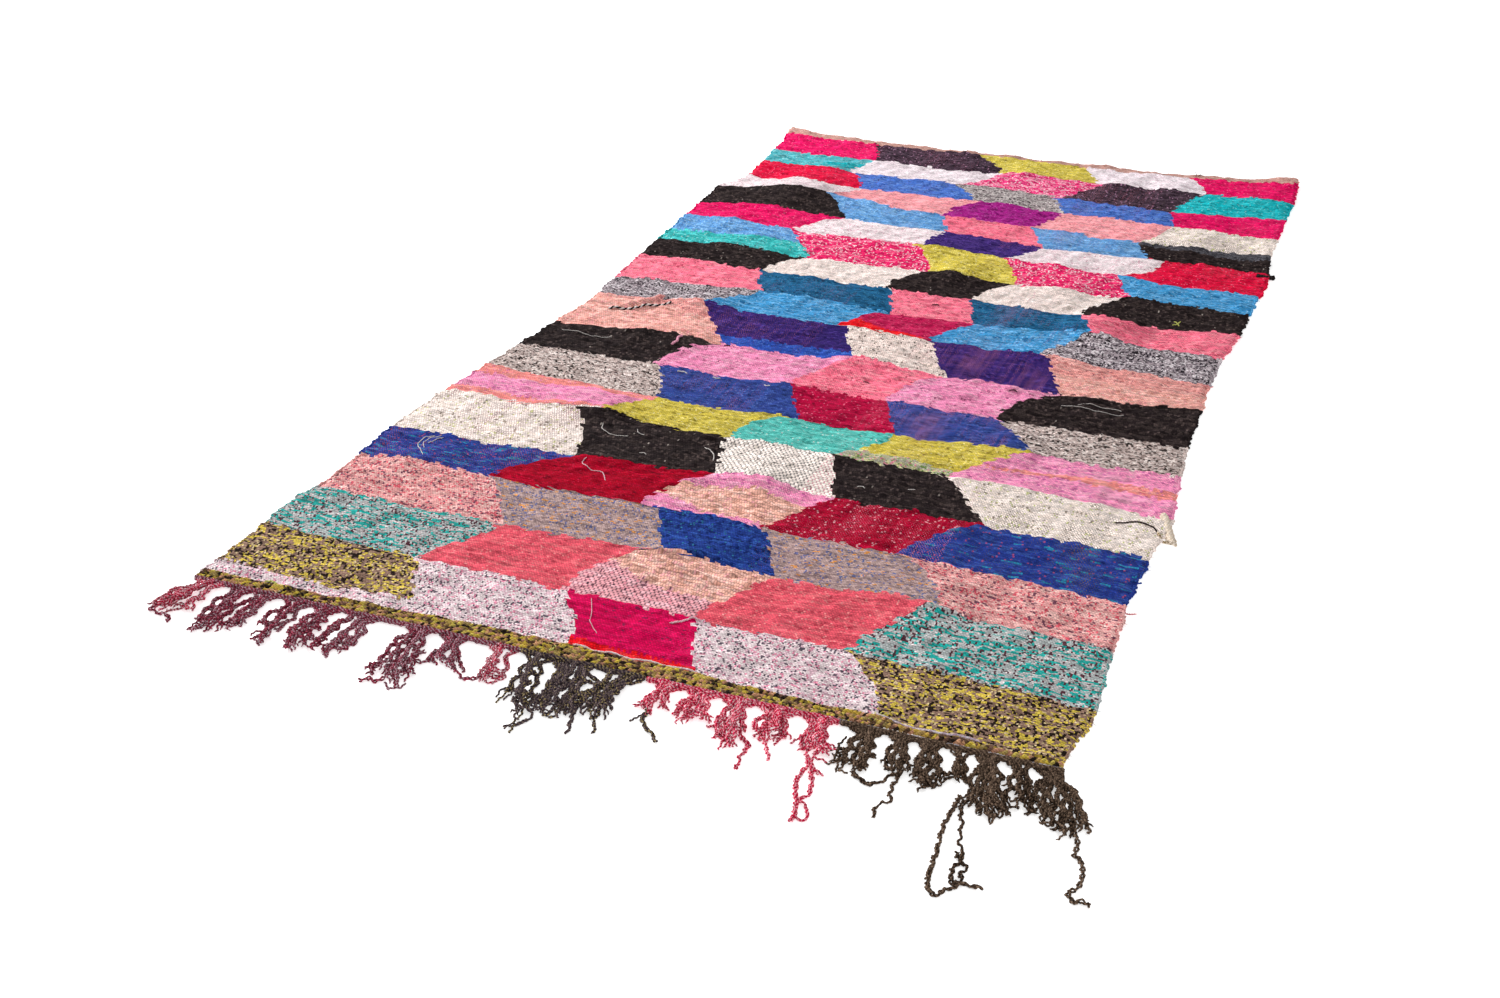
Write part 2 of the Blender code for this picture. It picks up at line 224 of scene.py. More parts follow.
# %% The yarn table
# Columns: base, second, fleck, speck, second_share, fleck_share, speck_share, second_mm, fleck_mm, pick_mm,
# warp, tone, relief
YARNS = {
    "olive": ("967868", "D8BE50", "281E1A", "DCC496", 0.38, 0.26, 0.08, 6.5, 4.5, 3.6, 0.05, 0.2, 1.0),
    "lavender": ("F0DEE0", "DCB6C2", "5E5460", "E48CA6", 0.26, 0.14, 0.1, 5, 3.2, 3.2, 0.06, 0.15, 0.7),
    "magenta": ("D40450", "DE145C", "92204E", "BE0644", 0.3, 0.03, 0.06, 40, 5, 3.2, 0.1, 0.2, 0.5),
    "hot magenta": ("EA0C60", "F2266E", "C00A50", "F45C8C", 0.3, 0.06, 0.05, 30, 5, 3.4, 0.14, 0.2, 0.6),
    "bright red": ("EC1420", "F0303A", "C01018", "F04A40", 0.3, 0.05, 0.05, 40, 6, 3.6, 0.0, 0.2, 0.5),
    "teal slub": ("B0B6B6", "2AA8A0", "D0C8C8", "58323C", 0.44, 0.18, 0.17, 13, 6, 3.6, 0.08, 0.25, 1.0),
    "coral": ("E85A6A", "EE6E78", "CC4456", "F48E90", 0.3, 0.06, 0.04, 30, 6, 3.2, 0.08, 0.2, 0.4),
    "peach slub": ("F6BAA8", "FAC8BA", "DCA08E", "F4ACAC", 0.35, 0.14, 0.1, 16, 9, 6.0, 0.04, 0.35, 1.6),
    "dotted pink": ("F0A8B0", "F4B8C0", "E08E9C", "704452", 0.3, 0.08, 0.04, 20, 5, 3.4, 0.37, 0.15, 0.7),
    "mottled salmon": ("E6A2A0", "F6C2BC", "7A4A5C", "DE5E6C", 0.34, 0.1, 0.15, 14, 5, 3.8, 0.1, 0.25, 1.0),
    "flecked grey": ("BCA09C", "988080", "DC9450", "686E9C", 0.34, 0.06, 0.11, 6, 7, 3.4, 0.12, 0.25, 0.8),
    "royal": ("243E8E", "2E509E", "152A6A", "2C6890", 0.34, 0.14, 0.04, 12, 5, 4.6, 0.06, 0.35, 1.1),
    "streaked royal": ("263A8C", "33509E", "2A7EA8", "944878", 0.3, 0.06, 0.035, 20, 18, 4.2, 0.35, 0.3, 0.9),
    "wine crimson": ("A80022", "B2042A", "82001E", "B81838", 0.34, 0.08, 0.04, 24, 8, 3.6, 0.03, 0.25, 0.6),
    "pale crimson": ("A6022A", "B20A34", "840222", "D8929C", 0.34, 0.08, 0.05, 24, 8, 3.6, 0.22, 0.25, 0.6),
    "orchid": ("F692BC", "FAAAC8", "CC68A0", "F8AEC2", 0.34, 0.07, 0.06, 24, 6, 3.6, 0.2, 0.2, 0.5),
    "coral stripe": ("F28E88", "F8A49C", "E0747A", "E884A8", 0.34, 0.06, 0.05, 24, 6, 3.6, 0.08, 0.2, 0.5),
    "cream": ("F8E9E1", "F0DFD4", "9E9082", "CECE94", 0.3, 0.04, 0.05, 20, 4, 4.0, 0.34, 0.12, 0.8),
    "black": ("271F20", "372E2D", "4C403E", "8A807A", 0.36, 0.1, 0.003, 12, 5, 5.2, 0.0, 0.55, 1.5),
    "dotted white": ("F8EAE2", "FCF0E8", "DCD0C6", "80766E", 0.3, 0.06, 0.02, 20, 5, 4.2, 0.38, 0.1, 0.6),
    "chartreuse": ("D4C04C", "E0CE66", "A08E38", "E8DC90", 0.34, 0.08, 0.05, 20, 5, 4.0, 0.1, 0.2, 0.7),
    "grey green": ("B8B6A0", "D0CE98", "7C9C56", "E08C9C", 0.34, 0.14, 0.1, 6, 4, 3.8, 0.1, 0.2, 0.8),
    "turquoise": ("5CCABF", "78D8CE", "3AA098", "D4E0D8", 0.34, 0.08, 0.02, 20, 6, 3.6, 0.22, 0.2, 0.6),
    "sea blue": ("36B6B4", "54C8C8", "2C9296", "9CDCD8", 0.34, 0.08, 0.04, 20, 6, 3.6, 0.1, 0.2, 0.6),
    "mottled stone": ("C4B0AA", "EADCD6", "3E3634", "8E7C76", 0.32, 0.18, 0.12, 6, 5, 3.6, 0.05, 0.2, 0.9),
    "threaded royal": ("304590", "3A549F", "22356F", "5068B0", 0.34, 0.1, 0.05, 20, 8, 3.6, 0.34, 0.2, 0.6),
    "deep crimson": ("B6063C", "C41848", "8E0630", "D85878", 0.34, 0.1, 0.05, 20, 6, 3.4, 0.26, 0.2, 0.6),
    "pink": ("F490BA", "F8AAC8", "D8749E", "9A4A70", 0.34, 0.06, 0.02, 20, 6, 3.6, 0.12, 0.2, 0.6),
    "coral pink": ("FE7892", "FF92A2", "E2566F", "B83C58", 0.34, 0.06, 0.02, 20, 6, 3.6, 0.1, 0.2, 0.6),
    "peach": ("ECA99E", "F2BBB0", "D88E82", "F09CA0", 0.34, 0.1, 0.08, 16, 6, 4.4, 0.06, 0.25, 0.9),
    "dusty salmon": ("E89C96", "F0B2AA", "D27E7A", "B06A72", 0.34, 0.08, 0.04, 16, 6, 3.8, 0.14, 0.2, 0.7),
    "navy purple": ("38256E", "2C1E60", "483686", "402060", 0.34, 0.1, 0.05, 20, 8, 3.6, 0.28, 0.3, 0.6),
    "low blue": ("2A4CA8", "385CB8", "203E8C", "4A70C0", 0.34, 0.1, 0.05, 20, 8, 3.6, 0.16, 0.2, 0.6),
    "dark flecked cream": ("EED8D0", "F4E4DC", "C8B6AA", "5C504A", 0.34, 0.1, 0.05, 12, 3, 4, 0.22, 0.2, 0.8),
    "salt and pepper": ("A6989E", "E0D6DA", "363036", "6E646C", 0.34, 0.23, 0.13, 5, 4, 3.6, 0.04, 0.15, 0.9),
    "sky": ("4298D0", "68AEE0", "2A76B0", "84C0EA", 0.34, 0.1, 0.05, 20, 6, 3.6, 0.12, 0.25, 0.6),
    "clear crimson": ("C61C54", "D23464", "A00A40", "E04E74", 0.34, 0.1, 0.05, 20, 6, 3.6, 0.12, 0.2, 0.6),
    "petrol": ("1D5C88", "2A6E9A", "14425F", "3A80A8", 0.34, 0.12, 0.05, 20, 8, 3.6, 0.14, 0.3, 0.7),
    "off white": ("FAE6DF", "FCEEE9", "E0D0C6", "E6DAD0", 0.34, 0.08, 0.08, 20, 6, 4.2, 0.06, 0.1, 0.9),
    "light blue": ("629CD6", "7CB0E0", "4A82C0", "96C6EC", 0.34, 0.1, 0.05, 20, 6, 3.6, 0.14, 0.2, 0.6),
    "mottled hot pink": ("F0286A", "F67E9E", "CE1A58", "FBD4DC", 0.3, 0.22, 0.1, 14, 7, 3.6, 0.06, 0.2, 0.8),
    "rosy white": ("F8E6E9", "FBEEF0", "E8C6D0", "DCA2B4", 0.34, 0.07, 0.03, 20, 6, 3.6, 0.14, 0.1, 0.6),
    "indigo": ("3E2A72", "503884", "2C165E", "604096", 0.34, 0.1, 0.05, 20, 8, 3.6, 0.12, 0.3, 0.7),
    "red": ("E00A3C", "E8244C", "B60A34", "EC5A78", 0.3, 0.08, 0.05, 24, 8, 3.6, 0.16, 0.2, 0.6),
    "purple": ("A21C80", "B23492", "740A60", "B44E9C", 0.34, 0.1, 0.05, 20, 8, 3.6, 0.12, 0.2, 0.6),
    "salmon": ("FDA2A8", "FFB6BA", "EA8A92", "F290A6", 0.34, 0.08, 0.05, 20, 6, 3.6, 0.1, 0.2, 0.6),
    "periwinkle": ("4A74CA", "648CD6", "3458AA", "34468C", 0.34, 0.1, 0.04, 20, 6, 3.6, 0.16, 0.2, 0.6),
    "mottled grey": ("9E9092", "C6BCBA", "544E50", "DAD2CE", 0.34, 0.2, 0.12, 6, 5, 3.6, 0.05, 0.2, 0.8),
    "mottled pink": ("F04484", "F8A0B8", "D22060", "FBD0DA", 0.36, 0.18, 0.1, 14, 7, 3.6, 0.08, 0.2, 0.8),
    "teal": ("16B4BE", "34C4CC", "148890", "74CED0", 0.34, 0.1, 0.05, 20, 6, 3.6, 0.1, 0.2, 0.7),
    "pale teal": ("4EB2BE", "74C2CA", "2EA0A6", "A6DCDC", 0.34, 0.12, 0.05, 20, 6, 3.6, 0.1, 0.25, 0.7),
    "black purple": ("40303C", "564452", "241C24", "98708A", 0.34, 0.12, 0.05, 12, 6, 4.4, 0.2, 0.4, 1.0),
    "lavender white": ("F6E6EC", "FAF0F4", "DCC6D0", "E4D0D8", 0.34, 0.07, 0.05, 20, 6, 3.6, 0.1, 0.1, 0.6),
    "slate": ("4A484E", "5E5C62", "2A282C", "6E6C74", 0.34, 0.14, 0.08, 12, 6, 4.6, 0.04, 0.3, 1.0),
    "hem salmon": ("E6AA9E", "F1C4B8", "CA8C7E", "F6D0C4", 0.36, 0.14, 0.1, 10, 5, 4.0, 0.08, 0.3, 1.0),
}
yarn_names = list(YARNS)
print(len(YARNS), "yarns, such as", yarn_names[:3])

# %% [markdown]
# ## The chart
# The pattern is a common one: rows of five blocks that lean one way and then the other, so their joins
# zigzag up the rug, with colours that mirror each other about the middle. The chart was read from
# the photograph laid flat. Each line between two rows has its distance from the near end at nine places
# across. Each row then has its four joins, with their places at the row's foot, middle and head. All are
# millimetres.

# %% The lines and the joins, near end first
STATIONS = (-750, -562.5, -375, -187.5, 0, 187.5, 375, 562.5, 750)
LINES = (
    (16, 16, 16, 16, 16, 16, 16, 16, 16),
    (200, 193, 190, 188, 185, 179, 177, 170, 163),
    (360, 348, 350, 355, 357, 348, 364, 341, 336),
    (507, 512, 505, 511, 511, 503, 502, 491, 484),
    (636, 632, 649, 660, 672, 658, 660, 650, 645),
    (833, 826, 838, 824, 832, 825, 822, 815, 801),
    (970, 959, 947, 940, 943, 951, 959, 963, 972),
    (1098, 1101, 1103, 1096, 1100, 1098, 1096, 1095, 1095),
    (1240, 1250, 1257, 1249, 1263, 1260, 1256, 1261, 1282),
    (1440, 1446, 1452, 1448, 1448, 1438, 1427, 1430, 1408),
    (1546, 1565, 1579, 1568, 1558, 1562, 1584, 1570, 1566),
    (1716, 1724, 1713, 1707, 1705, 1701, 1693, 1687, 1701),
    (1837, 1844, 1835, 1838, 1838, 1836, 1831, 1837, 1843),
    (2032, 2032, 2012, 2022, 2020, 2003, 1989, 1964, 1961),
    (2139, 2165, 2150, 2136, 2138, 2110, 2116, 2122, 2117),
    (2298, 2304, 2320, 2272, 2254, 2250, 2232, 2224, 2237),
    (2408, 2370, 2394, 2402, 2412, 2384, 2390, 2380, 2372),
    (2557, 2536, 2526, 2533, 2532, 2510, 2497, 2506, 2533),
    (2669, 2646, 2649, 2647, 2672, 2670, 2658, 2677, 2673),
    (2821, 2816, 2808, 2818, 2814, 2800, 2805, 2817, 2826),
    (2868, 2853, 2838, 2835, 2832, 2830, 2828, 2845, 2868),
)
JOINS = (
    ((-352, -395, -442), (-57, -84, -152), (160, 130, 93), (465, 434, 366)),
    ((-448, -396, -365), (-152, -140, -76), (92, 124, 168), (356, 395, 450)),
    ((-364, -408, -466), (-46, -82, -125), (174, 134, 88), (456, 428, 360)),
    ((-472, -440, -350), (-160, -136, -74), (84, 125, 170), (343, 378, 452)),
    ((-362, -393, -452), (-70, -96, -122), (166, 138, 104), (456, 398, 340)),
    ((-402, -366, -322), (-110, -104, -44), (100, 162, 200), (332, 393, 470)),
    ((-320, -346, -392), (-8, -46, -82), (194, 160, 122), (470, 418, 368)),
    ((-402, -384, -308), (-84, -68, 8), (120, 142, 206), (354, 380, 444)),
    ((-308, -370, -432), (-4, -42, -82), (208, 161, 120), (460, 421, 386)),
    ((-422, -380, -342), (-112, -76, -27), (113, 140, 184), (373, 404, 449)),
    ((-342, -374, -396), (-6, -34, -60), (184, 161, 134), (450, 424, 402)),
    ((-392, -371, -318), (-66, -64, -8), (141, 157, 208), (400, 416, 480)),
    ((-312, -368, -424), (-2, -38, -102), (210, 184, 136), (484, 455, 424)),
    ((-430, -396, -334), (-78, -66, -48), (150, 190, 212), (432, 499, 512)),
    ((-334, -374, -448), (-50, -69, -97), (208, 181, 148), (480, 451, 422)),
    ((-424, -392, -372), (-96, -80, -28), (148, 182, 205), (430, 465, 495)),
    ((-370, -392, -430), (-46, -87, -148), (205, 177, 142), (494, 478, 458)),
    ((-456, -434, -410), (-132, -70, -36), (176, 210, 262), (464, 489, 524)),
    ((-411, -430, -460), (-40, -78, -150), (236, 203, 166), (530, 504, 454)),
    ((-460, -460, -460), (-150, -150, -150), (166, 166, 166), (454, 454, 454)),
)
STATION_GAP = (STATIONS[1] - STATIONS[0]) * MM
lines = np.array(LINES) * MM
joins = np.array(JOINS) * MM
print(len(LINES) - 1, "rows of weave, the last of them the hem")

# %% The blocks of each row, left to right
ROWS = (
    ("olive", "lavender", "magenta", "lavender", "olive"),
    ("teal slub", "coral", "peach slub", "coral", "teal slub"),
    ("mottled salmon", "flecked grey", "royal", "flecked grey", "mottled salmon"),
    ("streaked royal", "wine crimson", "peach slub", "pale crimson", "streaked royal"),
    ("cream", "black", "dotted white", "black", "cream"),
    ("orchid", "chartreuse", "turquoise", "chartreuse", "orchid"),
    ("mottled stone", "threaded royal", "deep crimson", "threaded royal", "mottled stone"),
    ("black", "pink", "coral pink", "pink", "black"),
    ("peach", "navy purple", "dark flecked cream", "navy purple", "peach"),
    ("salt and pepper", "sky", "clear crimson", "sky", "salt and pepper"),
    ("coral pink", "petrol", "coral pink", "petrol", "coral pink"),
    ("black", "off white", "black", "off white", "black"),
    ("light blue", "mottled hot pink", "chartreuse", "mottled hot pink", "sky"),
    ("hot magenta", "rosy white", "indigo", "rosy white", "red"),
    ("black", "light blue", "coral pink", "light blue", "black"),
    ("rosy white", "salmon", "purple", "salmon", "cream"),
    ("red", "periwinkle", "mottled grey", "periwinkle", "hot magenta"),
    ("pale teal", "lavender white", "mottled pink", "black purple", "teal"),
    ("hot magenta", "black purple", "chartreuse", "lavender white", "hot magenta"),
    ("hem salmon",) * 5,
)

# Where a yarn ran out inside a block, the weaver went on with another. Columns: row and block, counted
# from 1, the other yarn's low and high lines as shares of the block's height at its left, middle and right,
# and the other yarn
STRIPES = (
    (1, 1, (0.00, 0.00, 0.00), (0.26, 0.20, 0.28), "lavender"),
    (1, 3, (0.00, 0.00, 0.00), (0.24, 0.22, 0.20), "bright red"),
    (2, 3, (0.00, 0.00, 0.00), (0.70, 0.40, 0.34), "dotted pink"),
    (4, 3, (0.00, 0.00, 0.00), (0.34, 0.08, 0.06), "orchid"),
    (4, 3, (0.62, 0.72, 0.64), (1.00, 1.00, 1.00), "orchid"),
    (6, 1, (0.00, 0.00, 0.00), (0.21, 0.18, 0.06), "coral stripe"),
    (6, 1, (0.72, 0.78, 0.78), (1.00, 1.00, 1.00), "coral stripe"),
    (6, 5, (0.38, 0.47, 0.40), (0.42, 0.64, 0.56), "coral stripe"),
    (6, 4, (0.00, 0.00, 0.00), (0.37, 0.26, 0.15), "grey green"),
    (9, 2, (0.00, 0.00, 0.00), (0.25, 0.31, 0.13), "low blue"),
    (9, 1, (1.00, 0.86, 0.62), (1.00, 1.00, 1.00), "dusty salmon"),
    (9, 5, (0.60, 0.52, 0.50), (1.00, 1.00, 1.00), "dusty salmon"),
    (10, 3, (0.00, 0.00, 0.00), (0.46, 0.18, 0.00), "bright red"),
    (13, 1, (0.00, 0.00, 0.00), (0.42, 0.40, 0.56), "sea blue"),
    (15, 5, (0.90, 0.66, 0.58), (1.00, 1.00, 1.00), "slate"),
    (18, 1, (0.00, 0.00, 0.20), (0.00, 0.10, 0.62), "teal"),
)
print(len(STRIPES), "stripes where a yarn changes inside a block")

# %% [markdown]
# ## How the cloth lies
# The selvedges wander in and out, and the cloth has never been pressed flat: it lies in low ripples.
# These are the same few numbers that shaped the solid model, so the cloth lies on its folds. Narrow
# creases, in millimetres from one end of each to the other, and smaller lumps come on top.

# %% Selvedges and ripples
# Columns: metres along, and how far the left and the right side stand out in millimetres
SELVEDGES = (
    (0.00, 15, -5), (0.15, 15, 14), (0.30, 20, 5), (0.40, 6, 0), (0.50, 10, -5), (0.65, 18, 2),
    (0.80, 11, 15), (0.95, -5, 2), (1.10, -20, -9), (1.25, -33, -10), (1.40, -49, -15), (1.55, -38, -12),
    (1.70, -30, 4), (1.90, -20, 9), (2.05, -15, 20), (2.20, -5, 6), (2.30, 0, 5), (2.40, -46, 5),
    (2.50, -35, 5), (2.70, -20, 9), (2.87, 2, 1),
)
# Columns: across, along, rise in millimetres, half the size across, half the size along
RIPPLES = (
    (-0.53, 2.31, 21, 0.16, 0.24), (-0.52, 2.57, 8, 0.10, 0.12), (0.05, 2.68, 8, 0.10, 0.13),
    (0.30, 2.68, 7, 0.08, 0.12), (0.44, 2.69, 9, 0.08, 0.13), (0.69, 2.70, 9, 0.10, 0.14),
    (-0.41, 2.68, 5, 0.13, 0.12), (0.73, 2.88, 13, 0.12, 0.12), (-0.76, 2.88, 8, 0.11, 0.12),
    (0.57, 2.25, 12, 0.07, 0.14), (0.76, 2.26, 12, 0.08, 0.14), (-0.60, 2.02, 6, 0.12, 0.12),
    (-0.04, 2.04, 8, 0.08, 0.10), (0.05, 1.86, 14, 0.10, 0.14), (-0.49, 1.88, 9, 0.14, 0.15),
    (0.32, 1.85, 9, 0.10, 0.12), (0.53, 1.85, 8, 0.09, 0.11), (0.46, 1.62, 20, 0.11, 0.14),
    (0.72, 1.66, 7, 0.09, 0.12), (-0.19, 1.58, 8, 0.19, 0.11), (-0.45, 1.47, 15, 0.15, 0.13),
    (0.39, 1.44, 12, 0.13, 0.10), (-0.46, 1.26, 11, 0.15, 0.12), (0.03, 1.28, 14, 0.18, 0.12),
    (-0.09, 1.11, 7, 0.10, 0.10), (0.40, 0.97, 11, 0.15, 0.12), (-0.05, 0.95, 7, 0.12, 0.09),
    (-0.44, 0.86, 15, 0.14, 0.12), (0.01, 0.69, 15, 0.13, 0.13), (-0.62, 0.52, 8, 0.12, 0.12),
    (-0.01, 0.37, 11, 0.12, 0.11), (0.42, 0.37, 8, 0.13, 0.10),
)

# Columns: across and along at one end, the same at the other end, rise, half the width
CREASES = (
    (-520, 1475, -635, 1350, 9, 15), (400, 1600, 570, 1668, 8, 20), (585, 1665, 700, 1640, 5, 18),
    (-150, 600, -20, 655, 6, 18), (-20, 655, 120, 590, 6, 18), (-90, 345, 60, 372, 5, 16),
    (120, 845, 330, 838, 5, 15), (-30, 1455, 90, 1330, 5, 16), (430, 2225, 560, 2262, 7, 20),
    (600, 2240, 735, 2258, 7, 20), (-600, 2395, -430, 2330, 6, 20), (240, 1265, 400, 1240, 5, 18),
    (-340, 1590, -120, 1604, 5, 18), (-620, 860, -480, 872, 5, 18), (-230, 520, -120, 470, 4, 16),
)

print("highest ripple:", max(row[2] for row in RIPPLES), "mm")


# %% Read the tables at any place
def selvedge(along, side):
    """Place across of the left (-1) or right (+1) selvedge, easing between the table's rows."""
    rows = np.array(SELVEDGES)
    out = rows[:, 1 if side < 0 else 2] * MM
    low = np.clip(np.searchsorted(rows[:, 0], along, side="right") - 1, 0, len(rows) - 2)
    share = np.clip((along - rows[low, 0]) / (rows[low + 1, 0] - rows[low, 0]), 0, 1)
    ease = share * share * (3 - 2 * share)
    return side * (FIELD_WIDTH / 2 + out[low] + (out[low + 1] - out[low]) * ease)


def ripple_height(across, along):
    """How high the ripples lift the cloth, in metres."""
    height = np.zeros_like(across)
    for middle, place, rise, half_across, half_along in RIPPLES:
        u = np.clip(np.abs(across - middle) / half_across, 0, 1)
        v = np.clip(np.abs(along - place) / half_along, 0, 1)
        bell = np.cos(u * math.pi / 2) * np.cos(v * math.pi / 2)
        height = np.maximum(height, rise * MM * bell * bell)
    return height


def crease_height(across, along):
    """The narrow folds, each a ridge along a straight line that dies away at both ends."""
    height = np.zeros_like(across)
    for x, y, x_end, y_end, rise, half_width in CREASES:
        way = np.array([x_end - x, y_end - y]) * MM
        share = ((across - x * MM) * way[0] + (along - y * MM) * way[1]) / (way @ way)
        held = np.clip(share, 0, 1)
        apart = np.hypot(across - x * MM - held * way[0], along - y * MM - held * way[1])
        ridge = np.clip(1 - apart / (half_width * MM), 0, 1)
        ridge = ridge * ridge * (3 - 2 * ridge)
        height = np.maximum(height, rise * MM * ridge * (0.35 + 2.6 * held * (1 - held)))
    return height


def ragged_edge(along):
    """How far the selvedge stands out past its table, in metres."""
    fine = uneven(along * 0, along, 0.016, 5) * 1.6
    coarse = uneven(along * 0, along, 0.055, 25) * 2.2
    return (fine + coarse) * MM


def uneven(x, y, size, seed):
    """A smooth random relief of about -1 to 1, with lumps about that size."""
    random = np.random.default_rng(seed)
    total = np.zeros_like(x)
    for _ in range(10):
        turn, phase = random.uniform(0, 2 * math.pi, 2)
        pace = 2 * math.pi / size * random.uniform(0.6, 1.4)
        total += np.sin(pace * (x * math.cos(turn) + y * math.sin(turn)) + phase)
    return total / 4


print("left selvedge, half way along:", selvedge(np.array([FIELD_LENGTH / 2]), -1).round(3), "m")

# %% [markdown]
# ## The woven cloth
# The rug is one cloth. It is dressed in four lengths that meet along lines between rows, so that each
# keeps a fine mesh. Each length starts as a flat grid, is extruded once to get its underside, and then
# every corner is laid in its place in the weave. A grid column follows a join, so the blocks lean with
# the mesh, and the joins are stepped as in the loom, where two wefts turn around neighbouring warps.

# %% Sizes of the cloth and of its grid
BAKE_MAP = "OFBake"
TOP_FILL = 0.955
TOP_FOOT = 0.042
CLOTH_THICKNESS = 6 * MM
THINNEST = 2.5 * MM
PUCKER_MM = 1.9
SMALL_PUCKER_MM = 1.4
RIDGE_MM = 1.3
SLUB_MM = 1.3
YARN_WOBBLE = 0.9 * MM
EDGE_DROP = 1.6 * MM
BLOCK_CELLS = (60, 52, 42, 52, 60)
ROW_CELLS = 26
HEM_CELLS = 6
ROW_LENGTH = 0.147
LENGTHS = {"woven_near": (0, 5), "woven_low": (5, 10), "woven_high": (10, 15), "woven_far": (15, 20)}
FLOOR_GAP = 0.2 * MM
block_edges = np.concatenate([[0], np.cumsum(BLOCK_CELLS)])
cells_across = int(block_edges[-1])
row_cells = [ROW_CELLS] * (len(LINES) - 2) + [HEM_CELLS]
line_cells = np.concatenate([[0], np.cumsum(row_cells)])
teeth = np.random.default_rng(11)
ragged_lines = teeth.uniform(-2.4, 2.4, (len(LINES), cells_across + 1)) * MM
ragged_joins = teeth.uniform(-2.0, 2.0, (4, line_cells[-1] + 1)) * MM
print("the cloth's grid:", cells_across, "by", line_cells[-1], "cells")


# %% Places in the weave
def line_at(number, across):
    """Distance along of a line between rows at a place across, with the small wander of real weaving."""
    place = np.clip((across - STATIONS[0] * MM) / STATION_GAP, 0, len(STATIONS) - 1.001)
    low = place.astype(int)
    share = place - low
    ease = share * share * (3 - 2 * share)
    wander = uneven(across, np.zeros_like(across) + 0.31 * number, 0.08, 40) * 2.0 * MM
    charted = lines[number, low] * (1 - ease) + lines[number, low + 1] * ease
    return charted + np.where(number == 0, 0, wander)


def weave_place(column, step):
    """Place across and along of grid corners, from their column and their step up the rug."""
    row = np.clip(np.searchsorted(line_cells, step, side="right") - 1, 0, len(row_cells) - 1)
    share = (step - line_cells[row]) / np.array(row_cells)[row]
    edges = np.empty((6, len(column)))
    for edge, side, station in ((0, -1, 0), (5, 1, -1)):
        edges[edge] = selvedge(lines[row, station] * (1 - share) + lines[row + 1, station] * share, side)
    foot, middle, head = (joins[row, :, part].T for part in range(3))
    edges[1:5] = foot * (1 - share) * (1 - 2 * share) + middle * 4 * share * (1 - share)
    edges[1:5] += head * share * (2 * share - 1)
    block = np.clip(np.searchsorted(block_edges, column, side="right") - 1, 0, 4)
    inside = (column - block_edges[block]) / np.array(BLOCK_CELLS)[block]
    at = np.arange(len(column))
    across = edges[block, at] + (edges[block + 1, at] - edges[block, at]) * inside
    on_join = (inside == 0) & (block > 0)
    across += np.where(on_join, ragged_joins[np.maximum(block - 1, 0), step], 0)
    along = line_at(row, across) * (1 - share) + line_at(row + 1, across) * share
    on_line = (share == 0) & (row > 0)
    along += np.where(on_line, ragged_lines[row, column], 0)
    return across, along, row, share


print("first line of the chart, at the middle:", line_at(1, np.zeros(1)).round(3), "m from the near end")


# %% The upper face
def cloth_top(across, along, relief=0.6):
    """Height of the cloth's upper face: puckers, ridges along the weft and the lumps of its yarns."""
    puckers = uneven(across, along * 1.5, 0.13, 1) * PUCKER_MM
    puckers += uneven(across, along * 1.4, 0.05, 3) * SMALL_PUCKER_MM
    ridges = uneven(across * 0.30, along, 0.032, 9) * RIDGE_MM
    slubs = uneven(across, along * 1.8, 0.022, 2) * relief * SLUB_MM
    lift = np.maximum(CLOTH_THICKNESS + (puckers + ridges + slubs) * MM, THINNEST)
    return ripple_height(across, along) + lift + crease_height(across, along)


print("top of the cloth at the rug's middle:", cloth_top(np.zeros(1), np.ones(1) * 1.435).round(4), "m")


